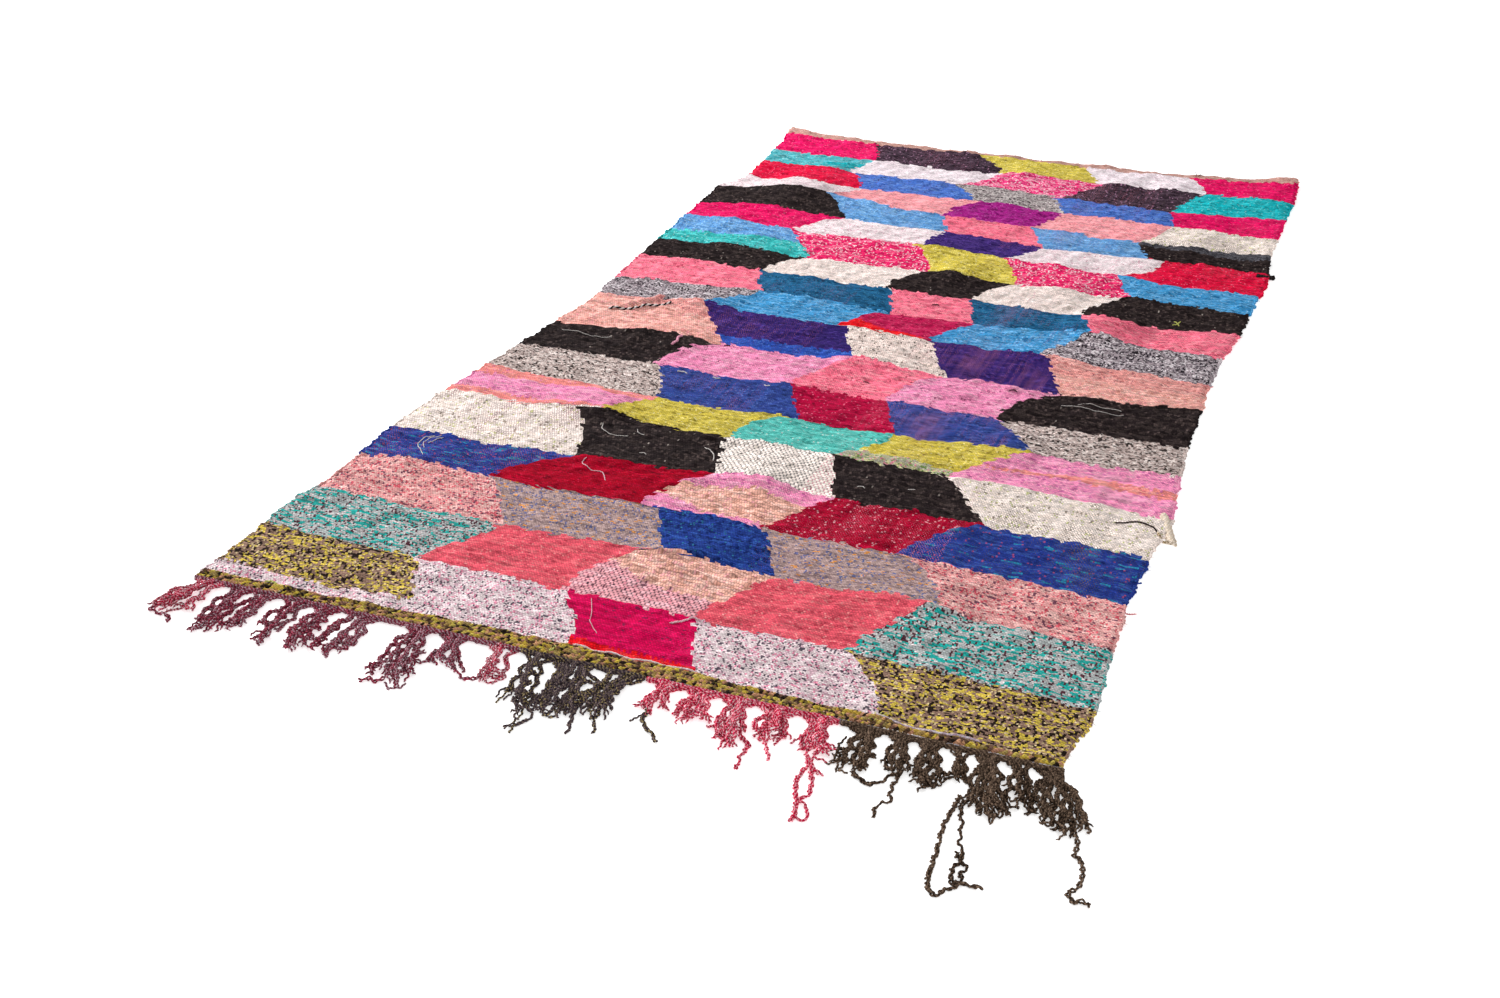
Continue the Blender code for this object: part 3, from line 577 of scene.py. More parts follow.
# %% Lay one length of cloth
def lay_cloth(name, first_row, last_row):
    """One length of cloth between two lines of the chart."""
    first, last = line_cells[first_row], line_cells[last_row]
    steps = int(last - first)
    bpy.ops.object.select_all(action="DESELECT")
    bpy.ops.mesh.primitive_grid_add(x_subdivisions=cells_across, y_subdivisions=steps, size=2)
    cloth = bpy.context.object
    cloth.name = cloth.data.name = name
    bpy.ops.object.mode_set(mode="EDIT")
    bpy.ops.mesh.select_all(action="SELECT")
    bpy.ops.mesh.extrude_region_move(TRANSFORM_OT_translate={"value": (0, 0, -1)})
    bpy.ops.mesh.select_all(action="SELECT")
    bpy.ops.mesh.normals_make_consistent(inside=False)
    bpy.ops.object.mode_set(mode="OBJECT")
    mesh = cloth.data
    corners = np.empty(len(mesh.vertices) * 3)
    mesh.vertices.foreach_get("co", corners)
    corners = corners.reshape(-1, 3)
    column = np.rint((corners[:, 0] + 1) / 2 * cells_across).astype(int)
    step = np.rint((corners[:, 1] + 1) / 2 * steps).astype(int) + first
    under = corners[:, 2] < -0.5
    across, along, row, share = weave_place(column, step)
    across = across + uneven(across, along, 0.014, 12) * YARN_WOBBLE
    calm = (share < 0.02) | (share > 0.94)
    along = along + np.where(calm, 0, uneven(across, along, 0.013, 13) * YARN_WOBBLE)
    yarn = yarn_of(np.minimum(column, cells_across - 1), np.minimum(step, line_cells[-1] - 1))
    relief = yarn_rows[yarn, -1]
    top = cloth_top(across, along, np.where((step > first) & (step < last), relief, 0.6))
    fray = np.minimum(column, cells_across - column)
    side = np.where(column * 2 < cells_across, -1, 1)
    across = across + np.where(fray == 0, side * ragged_edge(along), 0)
    top = top - np.where(fray == 0, EDGE_DROP, 0)
    bottom = np.maximum(ripple_height(across, along), FLOOR_GAP)
    placed = np.stack([across, along - FIELD_LENGTH / 2, np.where(under, bottom, top)], axis=1)
    mesh.vertices.foreach_set("co", placed.ravel())
    weave = np.stack([across, (row + share) * ROW_LENGTH], axis=1)
    ends = loops_of(mesh)[0]
    layer = mesh.uv_layers.active or mesh.uv_layers.new()
    layer.name = "weave"
    layer.data.foreach_set("uv", weave[ends].ravel())
    map_for_baking(mesh, column, step - first, under, steps)
    face_column, face_step = face_cells(mesh, column, step)
    dye(mesh, face_column, face_step)
    mesh.update()
    return cloth


print("steps in the four lengths:", [int(line_cells[b] - line_cells[a]) for a, b in LENGTHS.values()])


# %% Corners, cells and the second map
def loops_of(mesh):
    """The corner number of every loop, and the first loop and the loop count of every face."""
    ends = np.empty(len(mesh.loops), int)
    starts, sizes = np.empty(len(mesh.polygons), int), np.empty(len(mesh.polygons), int)
    mesh.loops.foreach_get("vertex_index", ends)
    mesh.polygons.foreach_get("loop_start", starts)
    mesh.polygons.foreach_get("loop_total", sizes)
    return ends, starts, sizes


def map_for_baking(mesh, column, step, under, steps):
    """A second map where no two faces share a place: top, a strip for the underside, four for the rim."""
    ends, starts, sizes = loops_of(mesh)
    u, v, low = column[ends] / cells_across, step[ends] / steps, under[ends]
    rim = np.repeat(np.minimum.reduceat(low, starts) != np.maximum.reduceat(low, starts), sizes)
    side = np.repeat(np.minimum.reduceat(u, starts) == np.maximum.reduceat(u, starts), sizes)
    rim_x = np.where(side, 0.962 + u * 0.010, 0.982 + v * 0.009) + low * 0.006
    rim_y = np.where(side, v, u) * TOP_FILL + TOP_FOOT
    x = np.where(rim, rim_x, u * TOP_FILL + 0.002)
    y = np.where(rim, rim_y, np.where(low, v * 0.03 + 0.004, v * TOP_FILL + TOP_FOOT))
    mesh.uv_layers.new(name=BAKE_MAP).data.foreach_set("uv", np.stack([x, y], axis=1).ravel())


def face_cells(mesh, column, step):
    """Column and step of each face's cell, from the lowest of its corners."""
    ends, starts, _ = loops_of(mesh)
    face_column = np.minimum.reduceat(column[ends], starts)
    face_step = np.minimum.reduceat(step[ends], starts)
    return np.minimum(face_column, cells_across - 1), np.minimum(face_step, line_cells[-1] - 1)


print("map and cell helpers ready")


# %% [markdown]
# ## Dyeing the cells
# Each cell of the grid takes the numbers of its yarn as attributes. The joins and the lines between rows
# are stepped by a cell here and there, as a real weft turns one warp early or late.

# %% Give each cell its yarn
yarn_rows = np.array([
    [*(shade for code in yarn[:4] for shade in paint(code)), *yarn[4:]] for yarn in YARNS.values()
])
YARN_ATTRIBUTES = (
    "yarn_base", "yarn_second", "yarn_fleck", "yarn_speck", "yarn_shares", "yarn_lengths", "yarn_body",
)
join_teeth = teeth.choice([-1, 0, 0, 1], (4, line_cells[-1] + 1))
join_teeth[:, 1::2] = join_teeth[:, 0:-1:2][:, : join_teeth[:, 1::2].shape[1]]
line_teeth = np.repeat(teeth.choice([-1, 0, 0, 0, 0, 0, 0, 1], (len(LINES), cells_across // 2)), 2, axis=1)
stripe_teeth = teeth.uniform(-0.03, 0.03, cells_across)


def yarn_of(column, step):
    """The number of the yarn in each cell."""
    number = np.searchsorted(line_cells, step, side="right") - 1
    for line in range(1, len(LINES) - 1):
        shifted = line_cells[line] + line_teeth[line][column]
        number = np.where((number == line) & (step < shifted), line - 1, number)
        number = np.where((number == line - 1) & (step >= shifted), line, number)
    block = np.zeros_like(column)
    for join in range(4):
        block += column >= block_edges[join + 1] + join_teeth[join][step]
    share = (step + 0.5 - line_cells[number]) / np.array(row_cells)[number] + stripe_teeth[column]
    inside_block = (column - block_edges[block]) / np.array(BLOCK_CELLS)[block]
    chart = np.array([[yarn_names.index(yarn) for yarn in row] for row in ROWS])
    yarn = chart[number, block]
    for row, place, low_line, high_line, other in STRIPES:
        low = np.interp(inside_block, (0, 0.5, 1), low_line)
        high = np.interp(inside_block, (0, 0.5, 1), high_line)
        inside = (number == row - 1) & (block == place - 1)
        inside &= ((share >= low) | (low <= 0)) & ((share < high) | (high >= 1)) & (high > 0.02)
        yarn = np.where(inside, yarn_names.index(other), yarn)
    return yarn


def dye(mesh, column, step):
    """Stores the yarn's numbers on each face."""
    numbers = yarn_rows[yarn_of(column, step)]
    for place, name in enumerate(YARN_ATTRIBUTES):
        attribute = mesh.attributes.new(name, "FLOAT_VECTOR", "FACE")
        attribute.data.foreach_set("vector", numbers[:, 3 * place : 3 * place + 3].ravel())


print("teeth at the joins, in cells:", join_teeth[0][:12])

# %% [markdown]
# ## The weave's finish
# In a weft-faced weave the weft covers the warp, over one and under the next, and the next pick the other
# way round. So the surface is small oval stitches laid like bricks. Each stitch gets its own random
# number, which picks the yarn's main colour, its second colour or a fleck. The grooves between stitches
# are painted darker, a painted shade, and where the weft is thin the warp shows in them, in the colour of the
# fringe below. Three worn lines run up the rug.

# %% Weave shader
STITCH_WIDTH = 5.2 * MM
WARP_COLOURS = ((0.0, "A8607A"), (0.415, "403A46"), (0.565, "DD8498"), (0.775, "6E6058"))
WORN_LINES = (-0.45, 0.24, 0.66)


def weave_finish():
    f = Finish("woven_yarns")
    uv = f.value("ShaderNodeUVMap", {"uv_map": "weave"})
    u, v = f.parts(uv)[:2]
    base, second, fleck, speck, shares, lengths, body = (f.attribute(name) for name in YARN_ATTRIBUTES)
    second_share, fleck_share, speck_share = f.parts(shares)
    second_mm, fleck_mm, pick_mm = f.parts(lengths)
    warp, tone, relief = f.parts(body)

    # Which pick and which stitch of it a point is in, and how high the stitch stands there
    drift = f.noise(uv, 30.0) - 0.5
    dotted = warp > 0.36
    along = v * 1000.0 / (pick_mm * (dotted * 0.5 + 1)) + drift * 2.2 * (1 - dotted * 0.6)
    pick = along.floor()
    luck = f.chance(pick, 3.0, 0.7)
    across = u / (STITCH_WIDTH * (dotted * 0.8 + 1)) + (f.noise(uv, 70.0) - 0.5) * 0.5 + (pick % 2.0) * 0.5
    stitch = across.floor()
    a = across.fraction() - 0.5
    b = along.fraction() - 0.5
    crown = (1 - b * b * 4.0).between(0.0, 1.0) ** 0.5 * (1 - a * a * 2.4)

    # The yarn's colours, in runs along each pick
    cluster = ((f.noise(f.vector(u * 10.0, v * 60.0), 1.0) - 0.5) * 3.6 + 1).between(0.15, 1.9)
    second_run = (u * 1000.0 / second_mm + luck * 19.0).floor()
    fleck_run = (u * 1000.0 / fleck_mm + luck * 31.0).floor()
    speck_run = (u * 300.0 + luck * 43.0).floor()
    colour = f.mix(base, second, f.chance(second_run, pick, 1.3) < second_share * cluster)
    colour = f.mix(colour, fleck, f.chance(fleck_run, pick, 2.9) < fleck_share * (2.1 - cluster))
    colour = f.mix(colour, speck, f.chance(speck_run, pick, 4.1) < speck_share)

    # Where the weft is thin or worn, and the warp shows in the gaps between stitches
    line = (f.noise(f.vector(u * 130.0, v * 2.2), 1.0) - 0.36) * 3.4
    for place in WORN_LINES:
        line = line + (1 - (u - place).size() * 22.0).between(0.0, 1.0) * 0.8
    patch = ((f.noise(uv, 9.0) - 0.34) * 3.0).between(0.1, 1.2)
    shown = (line.between(0.0, 1.3) * patch).between(dotted * 0.8, 1.6)
    gap = (a.size() > 0.5 - warp * shown * 0.5) * (b.size() < 0.40 - dotted * 0.08)
    ramp = f.node("ShaderNodeValToRGB", sockets={"Fac": u / FIELD_WIDTH + 0.5})
    ramp.color_ramp.interpolation = "CONSTANT"
    while len(ramp.color_ramp.elements) < len(WARP_COLOURS):
        ramp.color_ramp.elements.new(0.9)
    for stop, (place, code) in zip(ramp.color_ramp.elements, WARP_COLOURS):
        stop.position, stop.color = place, (*paint(code), 1)
    colour = f.mix(colour, Value(f, ramp.outputs[0]), gap * (0.95 - dotted * 0.15))

    # Uneven dye, painted shade in the grooves between stitches, and the fibre
    streaks = f.noise(f.vector(u * 5.0, v * 170.0), 1.0)
    patchy = f.noise(f.vector(u * 20.0, v * 90.0), 1.0, 3.0) + streaks - 1
    mottle = f.noise(f.vector(u * 45.0, v * 70.0), 1.0, 3.0) - 0.5
    stitch_luck = f.chance(stitch, pick, 7.7) - 0.5
    fibre = f.noise(f.vector(u * 700.0, v * 1900.0), 1.0, 1.0)
    slub = f.noise(f.vector(u * 62.0, v * 150.0), 1.0, 2.0)
    light = 1 + patchy * (tone * 2.4 + 0.35) + mottle * 0.6 + stitch_luck * 0.40 + (fibre - 0.5) * 0.36
    # The crown term is painted shade: the grooves between stitches are darker in the colour.
    light = light.between(0.33, 1.75) * (0.43 + crown * 0.63)
    height = crown * pick_mm * 0.20 + fibre * 0.35 + slub * relief * 2.6 + stitch_luck * 0.45
    return f.wear(f.shade(colour, light), height, 1.0 * MM, 0.80 + fibre * 0.18)


weave = weave_finish()
print("finish made:", weave.name)

# %% Lay the four lengths
cloths = []
for name, (first_row, last_row) in LENGTHS.items():
    cloth = lay_cloth(name, first_row, last_row)
    cloth.data.materials.append(weave)
    cloths.append(cloth)
    print(name, len(cloth.data.polygons), "faces")

for cloth, (first_row, last_row) in zip(cloths, LENGTHS.values()):
    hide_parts("woven_field")
    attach(cloth, "root")
    bpy.ops.object.select_all(action="DESELECT")
    cloth.select_set(True)
    bpy.context.view_layer.objects.active = cloth
    bpy.ops.object.shade_smooth_by_angle(angle=math.radians(50))
print("cloth laid")

# %% [markdown]
# ## Spun yarn
# Everything that isn't woven cloth here is yarn: the fringe, the twined heading, the turns at the
# selvedges and the loose threads. There are some two and a half thousand lengths of it, so they are laid
# as round tubes along computed paths and joined into one mesh for each part of the rug. A tube keeps two
# numbers for its finish: how far round the yarn and how far along it a point is.

# %% Tubes along paths
MOST_STRIPS = 220
STRIP_FILL = (0.8, 0.96)
STRIP_MARGIN = (0.1, 0.02)
TIP_SHARE = 0.45


def tube_corners(path, radius, sides):
    """Rings of corners round a path, narrowed at both ends."""
    ahead = np.gradient(path, axis=0)
    ahead /= np.linalg.norm(ahead, axis=1, keepdims=True) + 1e-12
    side = np.cross(ahead, (0.0, 0.0, 1.0))
    side /= np.linalg.norm(side, axis=1, keepdims=True) + 1e-9
    up = np.cross(side, ahead)
    turn = np.linspace(0, 2 * math.pi, sides, endpoint=False)
    thick = np.ones((len(path), 1, 1)) * np.reshape(radius, (-1, 1, 1))
    thick[[0, -1]] *= TIP_SHARE
    out = np.cos(turn)[None, :, None] * side[:, None] + np.sin(turn)[None, :, None] * up[:, None]
    return (path[:, None] + out * thick).reshape(-1, 3)


def spin(name, yarns, sides=5):
    """One mesh of many yarns. A yarn is its path, its radius and the colours of its two plies."""
    corners, faces, twist, strips, plies = [], [], [], [], []
    around = np.arange(sides)
    after = (around + 1) % sides
    start = 0
    strip_rows = -(-len(yarns) // MOST_STRIPS)
    strip_columns = -(-len(yarns) // strip_rows)
    for number, (path, radius, colours) in enumerate(yarns):
        rings = len(path)
        corners.append(tube_corners(path, radius, sides))
        low = start + np.arange(rings - 1)[:, None] * sides
        wall = np.stack([low + around, low + sides + around, low + sides + after, low + after], axis=2)
        faces += wall.reshape(-1, 4).tolist()
        faces += [(start + around).tolist(), (start + (rings - 1) * sides + around[::-1]).tolist()]
        reach = np.concatenate([[0], np.cumsum(np.linalg.norm(np.diff(path, axis=0), axis=1))])
        near, far = reach[:-1, None] + around * 0, reach[1:, None] + around * 0
        left, right = around / sides + near * 0, (around + 1) / sides + near * 0
        wall_twist = np.stack([left, near, left, far, right, far, right, near], axis=2).reshape(-1, 2)
        ends = np.zeros((2 * sides, 2)) + [[0.5, 0.0]]
        ends[sides:, 1] = reach[-1]
        twist.append(np.concatenate([wall_twist, ends]))
        strip = np.concatenate([wall_twist, ends]) / (1.0, reach[-1])
        place = (number % strip_columns + STRIP_MARGIN[0], number // strip_columns + STRIP_MARGIN[1])
        strips.append((strip * STRIP_FILL + place) / (strip_columns, strip_rows))
        shades = np.broadcast_to(colours, (rings - 1, 2, 3))
        shades = np.repeat(shades, sides, axis=0)
        plies.append(np.concatenate([shades, shades[:1], shades[-1:]]))
        start += rings * sides
    mesh = bpy.data.meshes.new(name)
    mesh.from_pydata(np.concatenate(corners), [], faces)
    piece = bpy.data.objects.new(name, mesh)
    bpy.context.collection.objects.link(piece)
    for title, places in (("twist", twist), (BAKE_MAP, strips)):
        mesh.uv_layers.new(name=title).data.foreach_set("uv", np.concatenate(places).ravel())
    plies = np.concatenate(plies)
    for place, title in enumerate(("ply_one", "ply_two")):
        stored = mesh.attributes.new(title, "FLOAT_VECTOR", "FACE")
        stored.data.foreach_set("vector", plies[:, place].ravel())
    mesh.shade_smooth()
    return piece


print("tube maker ready")


# %% Routes and curls
def smooth_route(points, step):
    """Closely spaced points on a smooth curve through a route's own points."""
    points = np.array(points, float)
    ends = np.vstack([2 * points[0] - points[1], points, 2 * points[-1] - points[-2]])
    runs = []
    for before, here, there, beyond in zip(ends, ends[1:], ends[2:], ends[3:]):
        t = np.arange(0, 1, step / max(np.linalg.norm(there - here), step))[:, None]
        bend = 2 * before - 5 * here + 4 * there - beyond
        swing = -before + 3 * here - 3 * there + beyond
        runs.append((2 * here + (there - before) * t + bend * t**2 + swing * t**3) / 2)
    return np.vstack([*runs, points[-1:]])


def curled(path, radius, pitch, phase):
    """The same path wound into a helix, as lively yarn lies."""
    ahead = np.gradient(path, axis=0)
    ahead /= np.linalg.norm(ahead, axis=1, keepdims=True) + 1e-12
    side = np.cross(ahead, (0.0, 0.0, 1.0))
    side /= np.linalg.norm(side, axis=1, keepdims=True) + 1e-9
    up = np.cross(side, ahead)
    reach = np.concatenate([[0], np.cumsum(np.linalg.norm(np.diff(path, axis=0), axis=1))])
    angle = (2 * math.pi * reach / pitch + phase)[:, None]
    return path + (side * np.cos(angle) + up * np.sin(angle)) * np.reshape(radius, (-1, 1))


def on_floor(path, radius):
    """Lifts whatever would sink into the floor."""
    lifted = path.copy()
    lifted[:, 2] = np.maximum(lifted[:, 2], np.asarray(radius) + FLOOR_GAP)
    return lifted


print("yarn tools ready")

# %% [markdown]
# ## Yarn finish
# The yarn is two plies twisted together, each of its own colour. The finish turns the place round the yarn
# as it goes along, so the two plies wind about each other like the stripes of a barber's pole, with a
# groove between them painted darker, a painted shade.


# %% Two-ply finish
def yarn_finish(name, ply_pitch_mm):
    f = Finish(name)
    round_share, along = f.parts(f.value("ShaderNodeUVMap", {"uv_map": "twist"}))[:2]
    spot = f.value("ShaderNodeTexCoord", output="Object")
    wind = round_share + along / (ply_pitch_mm * MM)
    stripe = (wind * 2.0).fraction()
    ply = wind.fraction() > 0.5
    crown = 1 - (stripe * 2.0 - 1).size() ** 2.0
    colour = f.mix(f.attribute("ply_one"), f.attribute("ply_two"), ply)
    fibre = f.noise(spot, 900.0, 2.0)
    patch = f.noise(spot, 130.0, 2.0)
    # The crown term is painted shade: the groove between the plies is darker in the colour. Patch and fibre
    # vary the yarn's own colour.
    light = (0.62 + crown * 0.42) * (0.62 + patch * 0.76) * (0.86 + fibre * 0.28)
    return f.wear(f.shade(colour, light), crown * 0.8 + fibre * 0.6, 0.8 * MM, 0.82 + fibre * 0.16)


PLY_PITCH_MM = 6.5
spun = yarn_finish("spun_yarn", PLY_PITCH_MM)
print("finish made:", spun.name)

# %% [markdown]
# ## The fringe
# The warp ends are gathered in bunches and have curled up. Each bunch fans out along the edge, draws in
# to a neck and ends in a ruffled head. A bunch is made of locks, and a lock of yarns wound round each
# other. Each lock keeps a place across the bunch and a level in it, and sways as it goes down. Its yarns
# kink in small tight curls, part near their tips and hook off sideways.

# %% Where the bunches are
# Columns: across, width at the root, width at the head, lean, reach, locks
BUNCHES = {
    "maroon": (
        (-0.724, 0.050, 0.066, -0.024, 0.132, 7), (-0.664, 0.034, 0.034, 0.008, 0.160, 4),
        (-0.610, 0.036, 0.044, -0.004, 0.142, 5), (-0.548, 0.034, 0.042, 0.006, 0.146, 4),
        (-0.489, 0.034, 0.044, 0.004, 0.150, 5), (-0.425, 0.046, 0.058, 0.012, 0.146, 6),
        (-0.308, 0.038, 0.058, 0.026, 0.182, 6), (-0.247, 0.040, 0.048, 0.024, 0.098, 5),
        (-0.160, 0.032, 0.042, 0.036, 0.126, 4),
    ),
    "charcoal": (
        (-0.096, 0.032, 0.040, 0.044, 0.190, 4), (-0.026, 0.074, 0.062, 0.034, 0.166, 8),
        (0.056, 0.066, 0.050, -0.010, 0.150, 6),
    ),
    "crimson": (
        (0.130, 0.028, 0.036, 0.006, 0.094, 5), (0.190, 0.040, 0.050, 0.008, 0.096, 7),
        (0.251, 0.036, 0.044, 0.022, 0.126, 7), (0.316, 0.040, 0.052, 0.014, 0.100, 7),
        (0.384, 0.034, 0.040, 0.022, 0.118, 6),
    ),
    "brown": (
        (0.460, 0.034, 0.044, 0.012, 0.136, 6), (0.512, 0.020, 0.028, 0.020, 0.118, 4),
        (0.554, 0.032, 0.044, 0.032, 0.134, 7), (0.600, 0.016, 0.020, 0.028, 0.110, 3),
        (0.643, 0.032, 0.048, 0.036, 0.158, 7), (0.690, 0.028, 0.034, 0.032, 0.114, 5),
        (0.736, 0.036, 0.066, 0.056, 0.154, 9),
    ),
}
BANDS = {
    "maroon": (-0.762, -0.1265), "charcoal": (-0.1260, 0.0955), "crimson": (0.0960, 0.4155),
    "brown": (0.4160, 0.7560),
}
print(sum(map(len, BUNCHES.values())), "bunches")

# %% Dye and sizes of the fringe yarns
# Columns: the two plies, the two plies of an odd yarn, the share of odd yarns
DYES = {
    "maroon": ("822E40", "B08C96", "6C2232", "AE5064", 0.35),
    "rose": ("A42C44", "DDB4BA", "B8183C", "D88A98", 0.45),
    "charcoal": ("443842", "786862", "2C2632", "94825E", 0.30),
    "crimson": ("C60A3C", "F494A4", "D62E56", "F8BEC6", 0.35),
    "brown": ("4E3E34", "786454", "30261E", "665244", 0.40),
}
YARN_RADIUS = 1.9 * MM
YARN_STEP = 2.5 * MM
YARNS_PER_LOCK = 5
BAND_YARNS = 9
WIDEST_ROOT = 0.034
ALL_MAROON = (-0.7, -0.2)
NECK_AT = 0.026
HEAD_AT = 0.046
EDGE_LINE = -0.0005 - FIELD_LENGTH / 2

print("dyes:", ", ".join(DYES))


# %% One yarn's dye and one lock's paths
def dye_of(group, random):
    """The two ply colours of one yarn."""
    one, two, odd_one, odd_two, odd_share = DYES[group]
    pair = (odd_one, odd_two) if random.random() < odd_share else (one, two)
    return np.array([paint(code) for code in pair]) * random.uniform(0.75, 1.25)


def eased(value):
    held = np.clip(value, 0, 1)
    return held * held * (3 - 2 * held)


def lock_yarns(bunch, cell, place, random):
    """The paths of one lock's yarns, which wind round each other, part near their tips and hook off."""
    across, root_width, head_width, lean, reach, locks = bunch
    length = reach * random.uniform(0.76, 1.0) * (1 - 0.16 * place * place)
    level, hook, phase = random.random(), random.normal(0, 0.4), random.uniform(0, 2 * math.pi)
    swing, pace = random.uniform(2.0, 5.5) * MM, random.uniform(0.024, 0.044)
    paths = []
    for number in range(YARNS_PER_LOCK):
        own = length * random.uniform(0.85, 1.04)
        run = np.arange(0, own, YARN_STEP)
        late = eased((run / own - 0.6) / 0.4)
        bend = (hook + random.normal(0, 0.45)) * late
        down = np.cumsum(np.cos(bend)) * YARN_STEP
        size = root_width + (head_width - root_width) * eased((down - NECK_AT) / (HEAD_AT - NECK_AT))
        width = np.interp(down, (0, NECK_AT, HEAD_AT, reach * 0.75, reach), (1.0, 0.62, 0.95, 1.05, 0.7))
        root = cell[0] + (cell[1] - cell[0]) * (place + random.uniform(-1, 1) / locks + 1) / 2
        gather = eased(down / NECK_AT)
        x = root * (1 - gather) + (across + lean * down / reach + place * width * size / 2) * gather
        x += np.cumsum(np.sin(bend)) * YARN_STEP
        depth = np.interp(down, (0, NECK_AT, HEAD_AT + 0.02, reach * 0.8, reach), (5, 10, 14, 12, 4)) * MM
        z = YARN_RADIUS + level * depth * math.sqrt(1 - 0.8 * place * place)
        path = np.stack([x, EDGE_LINE - down, z], axis=1)
        sway = swing * eased((down - NECK_AT) / 0.03)
        turn = phase + 2 * math.pi * down / pace
        swayed = (sway * np.cos(turn), sway * np.sin(turn), 0.35 * sway * np.sin(turn * 1.3))
        path += np.stack(swayed, axis=1)
        path = curled(path, (2.2 + 1.0 * late) * MM, 42 * MM, 2 * math.pi * number / YARNS_PER_LOCK)
        path = curled(path, 1.2 * MM, random.uniform(9, 13) * MM, random.uniform(0, 6))
        paths.append(on_floor(path, YARN_RADIUS))
    return paths


print(YARNS_PER_LOCK, "yarns to a lock")


# %% All the bunches of one colour
def fringe_yarns(group):
    """All the yarns of the bunches of one colour."""
    random = np.random.default_rng(list(BUNCHES).index(group) + 21)
    bunches = BUNCHES[group]
    middles = [(a[0] + b[0]) / 2 for a, b in zip(bunches, bunches[1:])]
    limits = [BANDS[group][0] + 4 * MM, *middles, BANDS[group][1] - 4 * MM]
    yarns = []
    for bunch, low, high in zip(bunches, limits, limits[1:]):
        cell = (max(low, bunch[0] - WIDEST_ROOT), min(high, bunch[0] + WIDEST_ROOT))
        rose = group == "maroon" and not ALL_MAROON[0] < bunch[0] < ALL_MAROON[1]
        dye_name = "rose" if rose else group
        for number in range(bunch[-1]):
            place = -1 + 2 * (number + random.random()) / bunch[-1]
            for path in lock_yarns(bunch, cell, place, random):
                yarns.append((path, YARN_RADIUS, dye_of(dye_name, random)))
    return yarns


print("a yarn is", round(YARN_RADIUS * 2000, 1), "mm thick")

# %% [markdown]
# ## Loose ends and the edge band
# A few yarns have slipped out of their bunches and lie on the floor in loops of their own. Their points
# were picked by eye along each yarn in the photograph, and a separate measuring script turned most of
# them into metres from the middle of the near edge. Between the bunches the warps run on along the edge
# in a loose twisted band.

